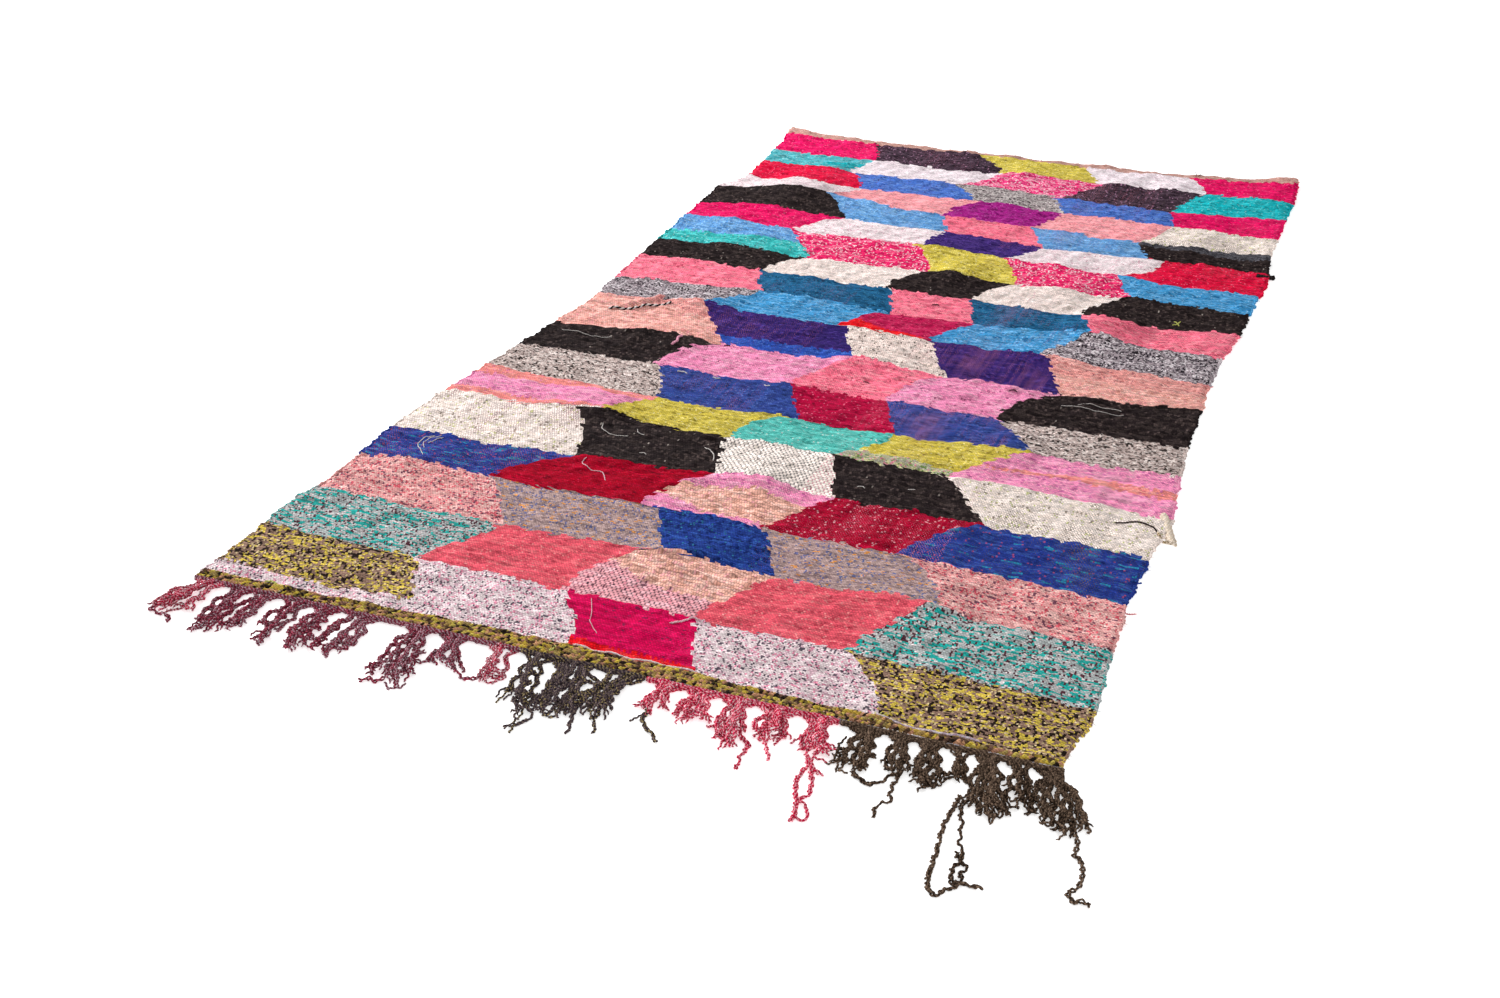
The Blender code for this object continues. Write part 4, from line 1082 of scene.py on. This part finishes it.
# %% Loose yarn routes
# Columns: group, number of yarns, route
LOOSE = (
    ("maroon", 2, ((-0.222, -0.070), (-0.198, -0.089), (-0.178, -0.105), (-0.155, -0.098),
                   (-0.145, -0.060))),
    ("maroon", 2, ((-0.270, -0.060), (-0.282, -0.083), (-0.263, -0.091), (-0.250, -0.080))),
    ("maroon", 2, ((-0.214, -0.050), (-0.209, -0.064), (-0.196, -0.074), (-0.184, -0.091))),
    ("maroon", 2, ((-0.758, -0.095), (-0.773, -0.111), (-0.759, -0.120), (-0.728, -0.123),
                   (-0.717, -0.137))),
    ("maroon", 2, ((-0.290, -0.150), (-0.300, -0.164), (-0.312, -0.160), (-0.324, -0.171))),
    ("maroon", 1, ((-0.282, -0.160), (-0.270, -0.172), (-0.256, -0.166), (-0.250, -0.152))),
    ("charcoal", 4, ((0.090, -0.010), (0.062, -0.038), (0.032, -0.058), (0.010, -0.094), (0.004, -0.136))),
    ("charcoal", 4, ((-0.064, -0.012), (-0.034, -0.042), (-0.004, -0.064), (0.008, -0.110))),
    ("charcoal", 3, ((0.074, -0.016), (0.034, -0.040), (-0.006, -0.052), (-0.030, -0.092))),
    ("charcoal", 3, ((-0.020, -0.012), (0.012, -0.030), (0.038, -0.050), (0.040, -0.100))),
    ("charcoal", 2, ((-0.045, -0.100), (-0.037, -0.128), (-0.026, -0.167), (-0.039, -0.185),
                     (-0.052, -0.198))),
    ("charcoal", 1, ((-0.058, -0.110), (-0.051, -0.133), (-0.044, -0.158), (-0.043, -0.178),
                     (-0.036, -0.208))),
    ("charcoal", 2, ((-0.024, -0.110), (-0.022, -0.133), (-0.005, -0.148), (-0.005, -0.127), (0.005, -0.139),
                     (0.001, -0.151))),
    ("charcoal", 2, ((0.052, -0.070), (0.056, -0.086), (0.066, -0.120), (0.060, -0.128), (0.074, -0.144),
                     (0.079, -0.163))),
    ("charcoal", 3, ((0.026, -0.110), (0.030, -0.130), (0.036, -0.150), (0.045, -0.180))),
    ("charcoal", 3, ((0.128, -0.060), (0.132, -0.084), (0.136, -0.109), (0.156, -0.128), (0.180, -0.150))),
    ("charcoal", 1, ((0.134, -0.086), (0.122, -0.104), (0.120, -0.118))),
    ("crimson", 3, ((0.278, -0.070), (0.286, -0.088), (0.308, -0.109), (0.306, -0.132), (0.312, -0.168))),
    ("crimson", 2, ((0.326, -0.080), (0.330, -0.098), (0.340, -0.112), (0.346, -0.131))),
    ("crimson", 4, ((0.398, -0.100), (0.405, -0.123), (0.402, -0.150), (0.408, -0.178), (0.424, -0.219),
                    (0.428, -0.250))),
    ("crimson", 3, ((0.404, -0.104), (0.413, -0.127), (0.424, -0.155), (0.430, -0.183), (0.423, -0.199),
                    (0.444, -0.222), (0.441, -0.240), (0.426, -0.240))),
    ("crimson", 2, ((0.404, -0.112), (0.415, -0.126), (0.434, -0.136))),
    ("brown", 3, ((0.630, -0.110), (0.629, -0.137), (0.627, -0.183), (0.633, -0.233), (0.636, -0.266),
                  (0.638, -0.292), (0.647, -0.317), (0.657, -0.322), (0.664, -0.312), (0.675, -0.298),
                  (0.686, -0.289), (0.698, -0.287), (0.712, -0.290))),
    ("brown", 2, ((0.644, -0.110), (0.638, -0.134), (0.648, -0.166), (0.658, -0.211), (0.669, -0.232),
                  (0.667, -0.250), (0.664, -0.267), (0.669, -0.290), (0.679, -0.292))),
    ("brown", 2, ((0.660, -0.228), (0.665, -0.242), (0.681, -0.253), (0.676, -0.267), (0.680, -0.282),
                  (0.672, -0.296))),
    ("brown", 2, ((0.536, -0.080), (0.535, -0.132), (0.541, -0.158), (0.528, -0.172), (0.530, -0.199))),
    ("brown", 3, ((0.470, -0.112), (0.480, -0.121), (0.503, -0.131), (0.518, -0.115), (0.530, -0.091))),
    ("brown", 2, ((0.786, -0.110), (0.806, -0.150), (0.808, -0.178), (0.816, -0.183), (0.826, -0.208),
                  (0.827, -0.240), (0.817, -0.256), (0.829, -0.271), (0.835, -0.265), (0.850, -0.270))),
    ("brown", 1, ((0.436, -0.035), (0.432, -0.050), (0.433, -0.070), (0.446, -0.090))),
    ("brown", 1, ((0.676, -0.100), (0.684, -0.116), (0.694, -0.126), (0.695, -0.137), (0.685, -0.130))),
    ("brown", 1, ((0.650, -0.030), (0.653, -0.044), (0.666, -0.072), (0.678, -0.072))),
    ("brown", 2, ((0.728, -0.085), (0.728, -0.099), (0.728, -0.117))),
)

print(len(LOOSE), "loose ends")


# %% Yarns on their routes and along the edge
def loose_yarns(group):
    random = np.random.default_rng(list(BUNCHES).index(group) + 51)
    yarns = []
    for owner, count, route in LOOSE:
        if owner != group:
            continue
        points = [(x, y - FIELD_LENGTH / 2, YARN_RADIUS * 1.6) for x, y in route]
        middle = smooth_route(points, YARN_STEP)
        for number in range(count):
            apart = 2.4 * MM if count > 1 else 1.2 * MM
            path = curled(middle, apart, random.uniform(20, 34) * MM, 2 * math.pi * number / count)
            path = curled(path, 1.0 * MM, random.uniform(9, 13) * MM, random.uniform(0, 6))
            yarns.append((on_floor(path, YARN_RADIUS), YARN_RADIUS, dye_of(group, random)))
    return yarns


def band_yarns(group):
    """The warps that run on along the edge."""
    random = np.random.default_rng(list(BUNCHES).index(group) + 71)
    low, high = BANDS[group]
    x = np.arange(low, high, 3 * MM)
    middle = np.stack([x, np.full_like(x, EDGE_LINE - 5.5 * MM), np.full_like(x, 5.5 * MM)], axis=1)
    middle[:, 1] += uneven(x, x * 0, 0.05, 6) * 1.0 * MM
    yarns = []
    for number in range(BAND_YARNS):
        path = curled(middle, random.uniform(1.8, 3.9) * MM, 62 * MM, 2 * math.pi * number / BAND_YARNS)
        path = curled(path, 0.6 * MM, random.uniform(12, 17) * MM, random.uniform(0, 6))
        yarns.append((on_floor(path, YARN_RADIUS), YARN_RADIUS, dye_of(group, random)))
    return yarns


print(BAND_YARNS, "yarns in the edge band")

# %% Make the four fringes
FRINGE_NODES = {group: "fringe_" + group for group in BUNCHES}
for group, node in FRINGE_NODES.items():
    fringe = spin(group + "_fringe_yarns", band_yarns(group) + fringe_yarns(group) + loose_yarns(group), 4)
    fringe.data.materials.append(spun)
    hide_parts(node)
    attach(fringe, "root")
    group + "_yarn"
    print(node, sum(len(face.vertices) - 2 for face in fringe.data.polygons), "triangles")

# %% [markdown]
# ## The heading
# Before the first pick the weaver twined two thick rag strands round the warps, which locks them in their
# places. Twining looks like a flat rope: slanted stitches that change colour as one strand or the other
# comes to the top. A few more rows of it run on at the left.

# %% Rags and rows of the heading
HEADING_DYES = {
    "rags": (
        "D8BE4A", "B8985A", "261E1A", "DDA47E", "D6C25E", "5E4634", "C08C70", "2A2220", "A8925A", "4A3830",
        "C9A848", "7A5A4C",
    ),
    "peach": ("DFA882", "B98A66", "C9A848", "5E4634", "E2B898", "2A221C"),
    "pale": ("F4E2E4", "E4BCC8", "F8F0EE"),
    "lilac": ("DCCBDA", "C4A8C4", "EEE4EC"),
    "grey": ("A49CA2", "C2BABE", "7A7276"),
}
HEADING_FOOT = -2.0
HEADING_TOP = ((-760, -400, -220, 170, 240, 460, 520, 760), (19, 23, 33, 32, 22, 26, 17, 16))
# Columns: share of the height, low end, high end, radius in mm, stitch in mm, dyes
HEADING_ROWS = (
    (0.14, -0.763, 0.480, 3.8, 13, "rags"), (0.52, -0.763, 0.752, 4.2, 15, "rags"),
    (0.88, -0.761, 0.490, 3.7, 12, "rags"), (0.34, -0.42, 0.235, 3.6, 14, "rags"),
    (0.70, -0.36, 0.20, 3.8, 12, "rags"), (0.26, 0.120, 0.460, 3.4, 13, "peach"),
    (0.20, -0.56, -0.30, 3.4, 13, "peach"), (1.12, -0.055, 0.165, 1.7, 6, "pale"),
    (1.14, 0.455, 0.625, 1.7, 6, "lilac"), (1.05, -0.76, -0.62, 1.6, 7, "lilac"),
    (-0.06, 0.100, 0.755, 2.8, 11, "grey"),
)

print("heading rows:", len(HEADING_ROWS))


# %% Twine the heading
def twined_row(height_share, low, high, radius_mm, stitch_mm, dyes, random):
    """Two strands wound round each other, each changing its rag now and then."""
    x = np.arange(low, high, 2.3 * MM)
    top = np.interp(x / MM, *HEADING_TOP)
    along = HEADING_FOOT + (top - HEADING_FOOT) * height_share + uneven(x, x * 0 + height_share, 0.06, 8)
    on_cloth = np.clip((along - 13) / 5, 0, 1)
    z = 5.4 * MM * (1 - on_cloth) + (cloth_top(x, along * MM) + 0.8 * MM) * on_cloth
    middle = np.stack([x, along * MM - FIELD_LENGTH / 2, z], axis=1)
    rags = HEADING_DYES[dyes]
    yarns = []
    slip = uneven(x, x * 0 + height_share, 0.05, 33) * 0.35 + 1
    for strand in range(2):
        path = curled(middle, radius_mm * 0.6 * MM, stitch_mm * MM, math.pi * (strand + slip * 2))
        stitch = ((x[:-1] - low) / (stitch_mm * MM) * 2 + strand + slip[:-1] * 2).astype(int)
        chosen = random.integers(0, len(rags), stitch.max() + 1)
        shades = np.array([paint(rags[rag]) for rag in chosen[stitch]])
        odd = np.array([paint(rags[rag]) for rag in np.roll(chosen, 3)[stitch]])
        colours = np.stack([shades, shades * 0.72 + odd * 0.28], axis=1)
        plump = radius_mm * 0.78 * MM * (1 + uneven(x, x * 0, 0.02, 15 + strand) * 0.12)
        yarns.append((on_floor(path, plump), plump, colours))
    return yarns


random = np.random.default_rng(5)
rows = [yarn for row in HEADING_ROWS for yarn in twined_row(*row, random)]
heading = spin("heading_stitches", rows, 5)
heading.data.materials.append(spun)
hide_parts("twined_heading")
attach(heading, "root")
print("heading:", len(heading.data.polygons), "faces")

# %% [markdown]
# ## Selvedges
# At each side a weft turns back round the last warp. The turns stand out a little, each in the colour of
# its row, and no two reach equally far.

# %% Turns along both selvedges
TURN_PITCH = 7.5 * MM
TURN_RADIUS = 2.3 * MM
ARC_POINTS = 6


def selvedge_turns(side, random):
    yarns = []
    column = 0 if side < 0 else cells_across
    for along in np.arange(0.02, FIELD_LENGTH - 0.02, TURN_PITCH):
        line_places = line_at(np.arange(len(LINES)), np.full(len(LINES), side * FIELD_WIDTH / 2))
        step = int(np.interp(along, line_places, line_cells))
        yarn = yarn_rows[yarn_of(np.array([min(column, cells_across - 1)]), np.array([step]))][0]
        edge = selvedge(np.array([along]), side)[0] + side * ragged_edge(np.array([along]))[0]
        out = random.uniform(0.5, 4.5) * MM
        half = TURN_PITCH * random.uniform(0.35, 0.6)
        arc = np.linspace(-0.5, 0.5, ARC_POINTS) * math.pi
        y = along + half * np.sin(arc)
        x = edge + side * (out * np.cos(arc) - 2.5 * MM * (1 - np.cos(arc)))
        height = cloth_top(np.full(ARC_POINTS, edge), y) - CLOTH_THICKNESS * 0.5
        path = np.stack([x, y - FIELD_LENGTH / 2, height], axis=1)
        shade = np.array([yarn[0:3], yarn[3:6] if random.random() < yarn[12] * 1.5 else yarn[0:3]])
        yarns.append((on_floor(path, TURN_RADIUS), TURN_RADIUS, shade * random.uniform(0.8, 1.15)))
    return yarns


turns = spin("selvedge_turns", selvedge_turns(-1, random) + selvedge_turns(1, random), 5)
turns.data.materials.append(spun)
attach(turns, "root")
print("weft turns:", len(turns.data.polygons), "faces")


# %% [markdown]
# ## Loose ends on the cloth
# Nobody darned in the ends of these yarns. Threads trail over the cloth, a two-ply cord lies along a
# fold, and at the right selvedge a rag end sticks out and a cream corner has rolled over. Their routes
# are set out over the chart, and each is dropped onto the cloth below it.

# %% Routes over the cloth
END_DYES = {
    "white": ("F2ECE8", "E0D6D2"), "blush": ("F4D2DA", "E8B4C2"), "dark": ("4A3838", "2E2424"),
    "speckled": ("F2EEEC", "1E1A1C"), "pink": ("F09AB8", "F6B8CA"), "lime": ("DADC8A", "C2C25A"),
    "royal": ("23408E", "3358A8"), "salmon": ("EE8E94", "F4A8AA"), "cream": ("F0E2D4", "DCC9B2"),
    "tan": ("8E7252", "D8C4A4"), "black": ("221D1E", "342E2F"),
}
# Columns: dye, radius in millimetres, number of yarns, route in millimetres
ENDS = (
    ("white", 0.9, 1, ((-664, 625), (-678, 604), (-675, 578), (-655, 552), (-632, 527))),
    ("white", 0.8, 1, ((-650, 628), (-664, 610), (-668, 588), (-650, 560))),
    ("white", 0.8, 1, ((-640, 618), (-652, 600), (-655, 583))),
    ("blush", 0.9, 1, ((-334, 641), (-333, 620), (-306, 602), (-281, 599), (-259, 570))),
    ("blush", 0.7, 1, ((-88, 170), (-70, 134), (-63, 113), (-34, 81))),
    ("blush", 1.2, 2, ((64, 151), (78, 166), (93, 180), (104, 178))),
    ("white", 0.8, 1, ((-372, 790), (-362, 766), (-332, 752), (-300, 757))),
    ("white", 0.7, 1, ((-296, 792), (-286, 774), (-270, 770))),
    ("white", 0.9, 1, ((-138, 765), (-118, 752), (-106, 736), (-100, 718))),
    ("dark", 1.1, 2, ((672, 752), (690, 760), (711, 765), (738, 757), (750, 742))),
    ("speckled", 1.8, 2, ((-634, 1348), (-620, 1360), (-602, 1362), (-578, 1372), (-556, 1392), (-530, 1402),
                          (-508, 1428))),
    ("pink", 1.7, 3, ((-402, 1252), (-405, 1235), (-400, 1218), (-405, 1200))),
    ("white", 0.7, 1, ((-676, 1196), (-640, 1200), (-600, 1196), (-552, 1198))),
    ("white", 0.7, 1, ((470, 1202), (510, 1206), (560, 1200), (598, 1204))),
    ("white", 0.6, 1, ((500, 1222), (540, 1226), (590, 1222))),
    ("lime", 0.9, 4, ((606, 1716), (616, 1722), (622, 1732))),
    ("lime", 0.8, 3, ((622, 1714), (616, 1724), (608, 1730))),
    ("royal", 1.0, 2, ((738, 556), (749, 560), (757, 566))),
    ("salmon", 0.9, 2, ((742, 462), (755, 458), (768, 464))),
    ("salmon", 0.9, 2, ((722, 1402), (736, 1410), (744, 1420))),
    ("dark", 0.5, 1, ((478, 2820), (474, 2850), (466, 2878))),
    ("dark", 0.5, 1, ((484, 2822), (488, 2846), (482, 2868))),
    ("white", 0.6, 1, ((-300, 1800), (-296, 1770), (-302, 1745))),
    ("blush", 0.6, 1, ((268, 1800), (272, 1770), (264, 1740))),
    ("white", 1.3, 1, ((-338, 1080), (-326, 1083), (-314, 1080))),
    ("white", 1.3, 1, ((-256, 1083), (-247, 1080), (-238, 1083))),
    ("white", 1.1, 1, ((-136, 1078), (-130, 1074), (-122, 1076))),
    ("dark", 1.1, 1, ((-300, 1246), (-292, 1249), (-284, 1247))),
    ("dark", 1.0, 1, ((52, 1172), (60, 1174), (66, 1171))),
    ("dark", 1.1, 1, ((352, 1232), (360, 1236), (370, 1234))),
    ("dark", 1.2, 1, ((62, 1640), (72, 1643), (80, 1640))),
    ("white", 0.9, 1, ((-250, 700), (-242, 703), (-234, 700))),
    ("white", 0.9, 1, ((196, 712), (204, 716), (211, 713))),
    ("white", 0.9, 1, ((286, 742), (293, 745), (300, 742))),
    ("lime", 1.6, 2, ((-632, 2), (-640, 16), (-628, 26), (-612, 20), (-610, 6))),
    ("lime", 1.6, 2, ((-96, 4), (-102, 18), (-88, 26), (-76, 16), (-80, 4))),
    ("tan", 1.5, 1, ((-612, 2), (-606, 18), (-590, 12), (-598, -4))),
    ("lime", 1.4, 1, ((-640, 4), (-632, 20), (-616, 16))),
    ("lime", 1.1, 1, ((452, 14), (464, 24), (474, 36))),
    ("lime", 1.1, 1, ((474, 14), (464, 24), (456, 36))),
    ("lime", 1.1, 1, ((464, 10), (464, 24), (466, 38))),
    ("lime", 1.1, 1, ((196, 10), (204, 22), (214, 32))),
    ("lime", 1.1, 1, ((216, 12), (206, 22), (198, 34))),
)

print(len(ENDS), "routes over the cloth")


# %% Drop the ends onto the cloth
def on_cloth(route_mm, radius):
    """A smooth route across and along the rug, dropped onto the cloth or onto the floor beside it."""
    flat = smooth_route([(x * MM, y * MM, 0) for x, y in route_mm], YARN_STEP)
    across, along = flat[:, 0], flat[:, 1]
    inside = np.minimum(selvedge(along, 1) - across, across - selvedge(along, -1))
    inside = np.minimum(inside, np.minimum(along + 4 * MM, FIELD_LENGTH - along))
    share = np.clip(inside / (6 * MM) + 0.8, 0, 1)
    height = cloth_top(across, along) * share + radius * 0.7
    return np.stack([across, along - FIELD_LENGTH / 2, np.maximum(height, radius + FLOOR_GAP)], axis=1)


def end_yarns(random):
    yarns = []
    for dye_name, radius_mm, count, route in ENDS:
        radius = radius_mm * MM
        middle = on_cloth(route, radius)
        for number in range(count):
            apart = radius * (0.95 if count > 1 else 0.3)
            path = curled(middle, apart, radius * 9, 2 * math.pi * number / count)
            shades = np.array([paint(code) for code in END_DYES[dye_name]])
            if dye_name == "speckled":
                shades = shades[[number, number]]
            yarns.append((path, radius, shades * random.uniform(0.85, 1.05)))
    return yarns


ends = spin("loose_ends", end_yarns(random), 6)
ends.data.materials.append(spun)
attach(ends, "root")
print("loose ends:", len(ends.data.polygons), "faces")

# %% Sizes of the rag end and the rolled corner
TAB_ALONG = 2.10
TAB_REACH = (0.741, 0.786)
TAB_STRANDS = 14
STRANDS_PER_LAYER = 7
STRAND_RADIUS = 1.7 * MM
CORNER_YARNS = 11
CORNER_RADIUS = 2.1 * MM
TAIL_YARNS = 3
TAIL_RADIUS = 1.5 * MM
CORNER_ROUTE = ((748, 812), (757, 792), (764, 770), (771, 748), (777, 728), (781, 716))
TAIL_ROUTE = ((752, 742), (756, 728), (765, 719), (776, 717), (784, 723), (785, 732))
print("the rag end reaches", TAB_REACH[1], "m from the middle")


# %% Make the rag end and the rolled corner
def tab_yarns(random):
    """Rag strands side by side in two layers, spread a little at their cut ends."""
    yarns = []
    for number in range(TAB_STRANDS):
        place = (number % STRANDS_PER_LAYER) / 3 - 1
        upper = number >= STRANDS_PER_LAYER
        reach = TAB_REACH[1] - random.uniform(0, 4) * MM - upper * 2 * MM
        x = np.linspace(TAB_REACH[0], reach, 16)
        share = np.linspace(0, 1, 16)
        spread = (8.5 - 2.5 * np.sin(share * math.pi) + 3.0 * share**4) * MM
        y = TAB_ALONG + place * spread + share**3 * 4 * MM
        z = 2.0 * MM + upper * 2.4 * MM + (1 - share) ** 4 * 1.5 * MM
        path = np.stack([x, y - FIELD_LENGTH / 2, z], axis=1)
        path = curled(path, 0.4 * MM, 14 * MM, random.uniform(0, 6))
        shades = np.array([paint(code) for code in END_DYES["black"]]) * random.uniform(0.7, 1.2)
        yarns.append((on_floor(path, STRAND_RADIUS), STRAND_RADIUS, shades))
    return yarns


def corner_yarns(random):
    """Cream yarns that roll over the edge of the cloth, and a tan tail that curls out from under them."""
    yarns = []
    for number in range(CORNER_YARNS):
        place = 2 * number / (CORNER_YARNS - 1) - 1
        path = on_cloth(CORNER_ROUTE, 2 * MM)
        share = np.linspace(0, 1, len(path))
        path[:, 0] += place * (5 + 4 * share) * MM
        path[:, 1] += place * (4 - 10 * share) * MM + random.uniform(-2, 2) * MM
        path[:, 2] = 2.4 * MM + (1 - place * place) * (5 - 2 * share) * MM + (1 - share) ** 3 * 2 * MM
        path = curled(path, 0.7 * MM, 16 * MM, random.uniform(0, 6))
        shades = np.array([paint(code) for code in END_DYES["cream"]]) * random.uniform(0.88, 1.05)
        yarns.append((on_floor(path, CORNER_RADIUS), CORNER_RADIUS, shades))
    for number in range(TAIL_YARNS):
        path = on_cloth(TAIL_ROUTE, TAIL_RADIUS)
        path = curled(path, TAIL_RADIUS, 20 * MM, number * 2.1)
        shades = np.array([paint(code) for code in END_DYES["tan" if number else "cream"]])
        yarns.append((on_floor(path, TAIL_RADIUS), TAIL_RADIUS, shades))
    return yarns


for title, yarns, node, slot in (
    ("rag_end", tab_yarns(random), "side_tab", "black_rag"),
    ("rolled_corner", corner_yarns(random), "side_knot", "cream_yarn"),
):
    piece = spin(title, yarns, 6)
    piece.data.materials.append(spun)
    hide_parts(node)
    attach(piece, "root")
    print(title, len(piece.data.polygons), "faces")

# %% [markdown]
# ## Fluff
# Wool sheds. Short hairs stand out along the far hem and the selvedges. Each is a thin three-sided tube,
# far too fine to see alone, but together they soften the outline.

# %% Hairs along the hem and the selvedges
HAIR_RADIUS = 0.35 * MM
HEM_HAIRS = 420
SELVEDGE_HAIRS = 500


def hair(start, way, length, shade, random):
    """One bent hair from its root."""
    share = np.linspace(0, 1, 5)[:, None]
    bend = random.uniform(-0.5, 0.5, 3) * (1, 1, 0.3)
    path = np.array(start) + (np.array(way) * share + bend * share**2) * length
    return on_floor(path, HAIR_RADIUS), HAIR_RADIUS, np.array([shade, shade])


def hem_hairs(random, count):
    yarns = []
    rose = [paint(code) for code in ("EDB4A6", "D89888", "F6D2C6")]
    for x in random.uniform(-0.74, 0.74, count):
        edge = float(line_at(np.array([len(LINES) - 1]), np.array([x]))[0]) - 2 * MM
        height = float(cloth_top(np.array([x]), np.array([edge]))[0]) - random.uniform(0.5, 4) * MM
        way = (random.uniform(-0.5, 0.5), 1.0, random.uniform(-0.2, 0.3))
        start = (x, edge - FIELD_LENGTH / 2, height)
        yarns.append(hair(start, way, random.uniform(5, 16) * MM, rose[random.integers(3)], random))
    return yarns


def selvedge_hairs(random, count):
    yarns = []
    for along in random.uniform(0.02, FIELD_LENGTH - 0.04, count):
        side = random.choice([-1, 1])
        edge = selvedge(np.array([along]), side) + side * ragged_edge(np.array([along]))
        column = np.array([0 if side < 0 else cells_across - 1])
        step = np.array([int(np.interp(along, lines[:, 0 if side < 0 else -1], line_cells))])
        shade = yarn_rows[yarn_of(column, step)][0][:3]
        height = float(cloth_top(edge, np.array([along]))[0]) - random.uniform(1, 5) * MM
        way = (side, random.uniform(-0.8, 0.8), random.uniform(-0.3, 0.3))
        start = (edge[0] - side * 1 * MM, along - FIELD_LENGTH / 2, height)
        yarns.append(hair(start, way, random.uniform(3, 9) * MM, shade, random))
    return yarns


fluff = spin("fluff", hem_hairs(random, HEM_HAIRS) + selvedge_hairs(random, SELVEDGE_HAIRS), 3)
fluff.data.materials.append(spun)
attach(fluff, "root")
print("fluff:", len(fluff.data.polygons), "faces")

# %% [markdown]
# ## Light and floor
# The photograph is bright and soft, with a white ground. A lamp low on the upper left gives the ripples a
# bright side, a pale sky fills the rest, and the floor glows a little, as a paper ground with lamps
# behind it does.

# %% Floor, lamps and sky
FLOOR_SIZE = 40
FLOOR_WHITE = 0.93
FLOOR_GLOW = 0.5
SKY_STRENGTH = 0.54
bpy.ops.object.select_all(action="DESELECT")
bpy.ops.mesh.primitive_plane_add(size=FLOOR_SIZE, location=(0, 0, 0))
floor = bpy.context.object
floor.name = "floor"
ground = Finish("pale_floor", 0.9)
ground.shader.inputs["Base Color"].default_value = (FLOOR_WHITE, FLOOR_WHITE, FLOOR_WHITE, 1)
ground.shader.inputs["Emission Color"].default_value = (1, 1, 1, 1)
ground.shader.inputs["Emission Strength"].default_value = FLOOR_GLOW
floor.data.materials.append(ground.material)


def lamp(name, place, aim, size, power):
    """A square soft lamp that faces a point."""
    turn = (Vector(aim) - Vector(place)).to_track_quat("-Z", "Y").to_euler()
    bpy.ops.object.light_add(type="AREA", location=place, rotation=turn)
    made = bpy.context.object
    made.name = name
    made.data.size, made.data.energy = size, power
    return made


lamp("window_left", place=(-6.0, 2.6, 2.8), aim=(0, 0, 0), size=2.3, power=830)
lamp("window_near", place=(2.2, -3.6, 3.6), aim=(0, -0.3, 0), size=3.0, power=60)
sky = bpy.data.worlds.new("pale_sky")
sky.use_nodes = True
sky.node_tree.nodes["Background"].inputs["Color"].default_value = (1, 1, 1, 1)
sky.node_tree.nodes["Background"].inputs["Strength"].default_value = SKY_STRENGTH
bpy.context.scene.world = sky
bpy.context.scene.view_settings.view_transform = "Standard"
print("lamps placed")
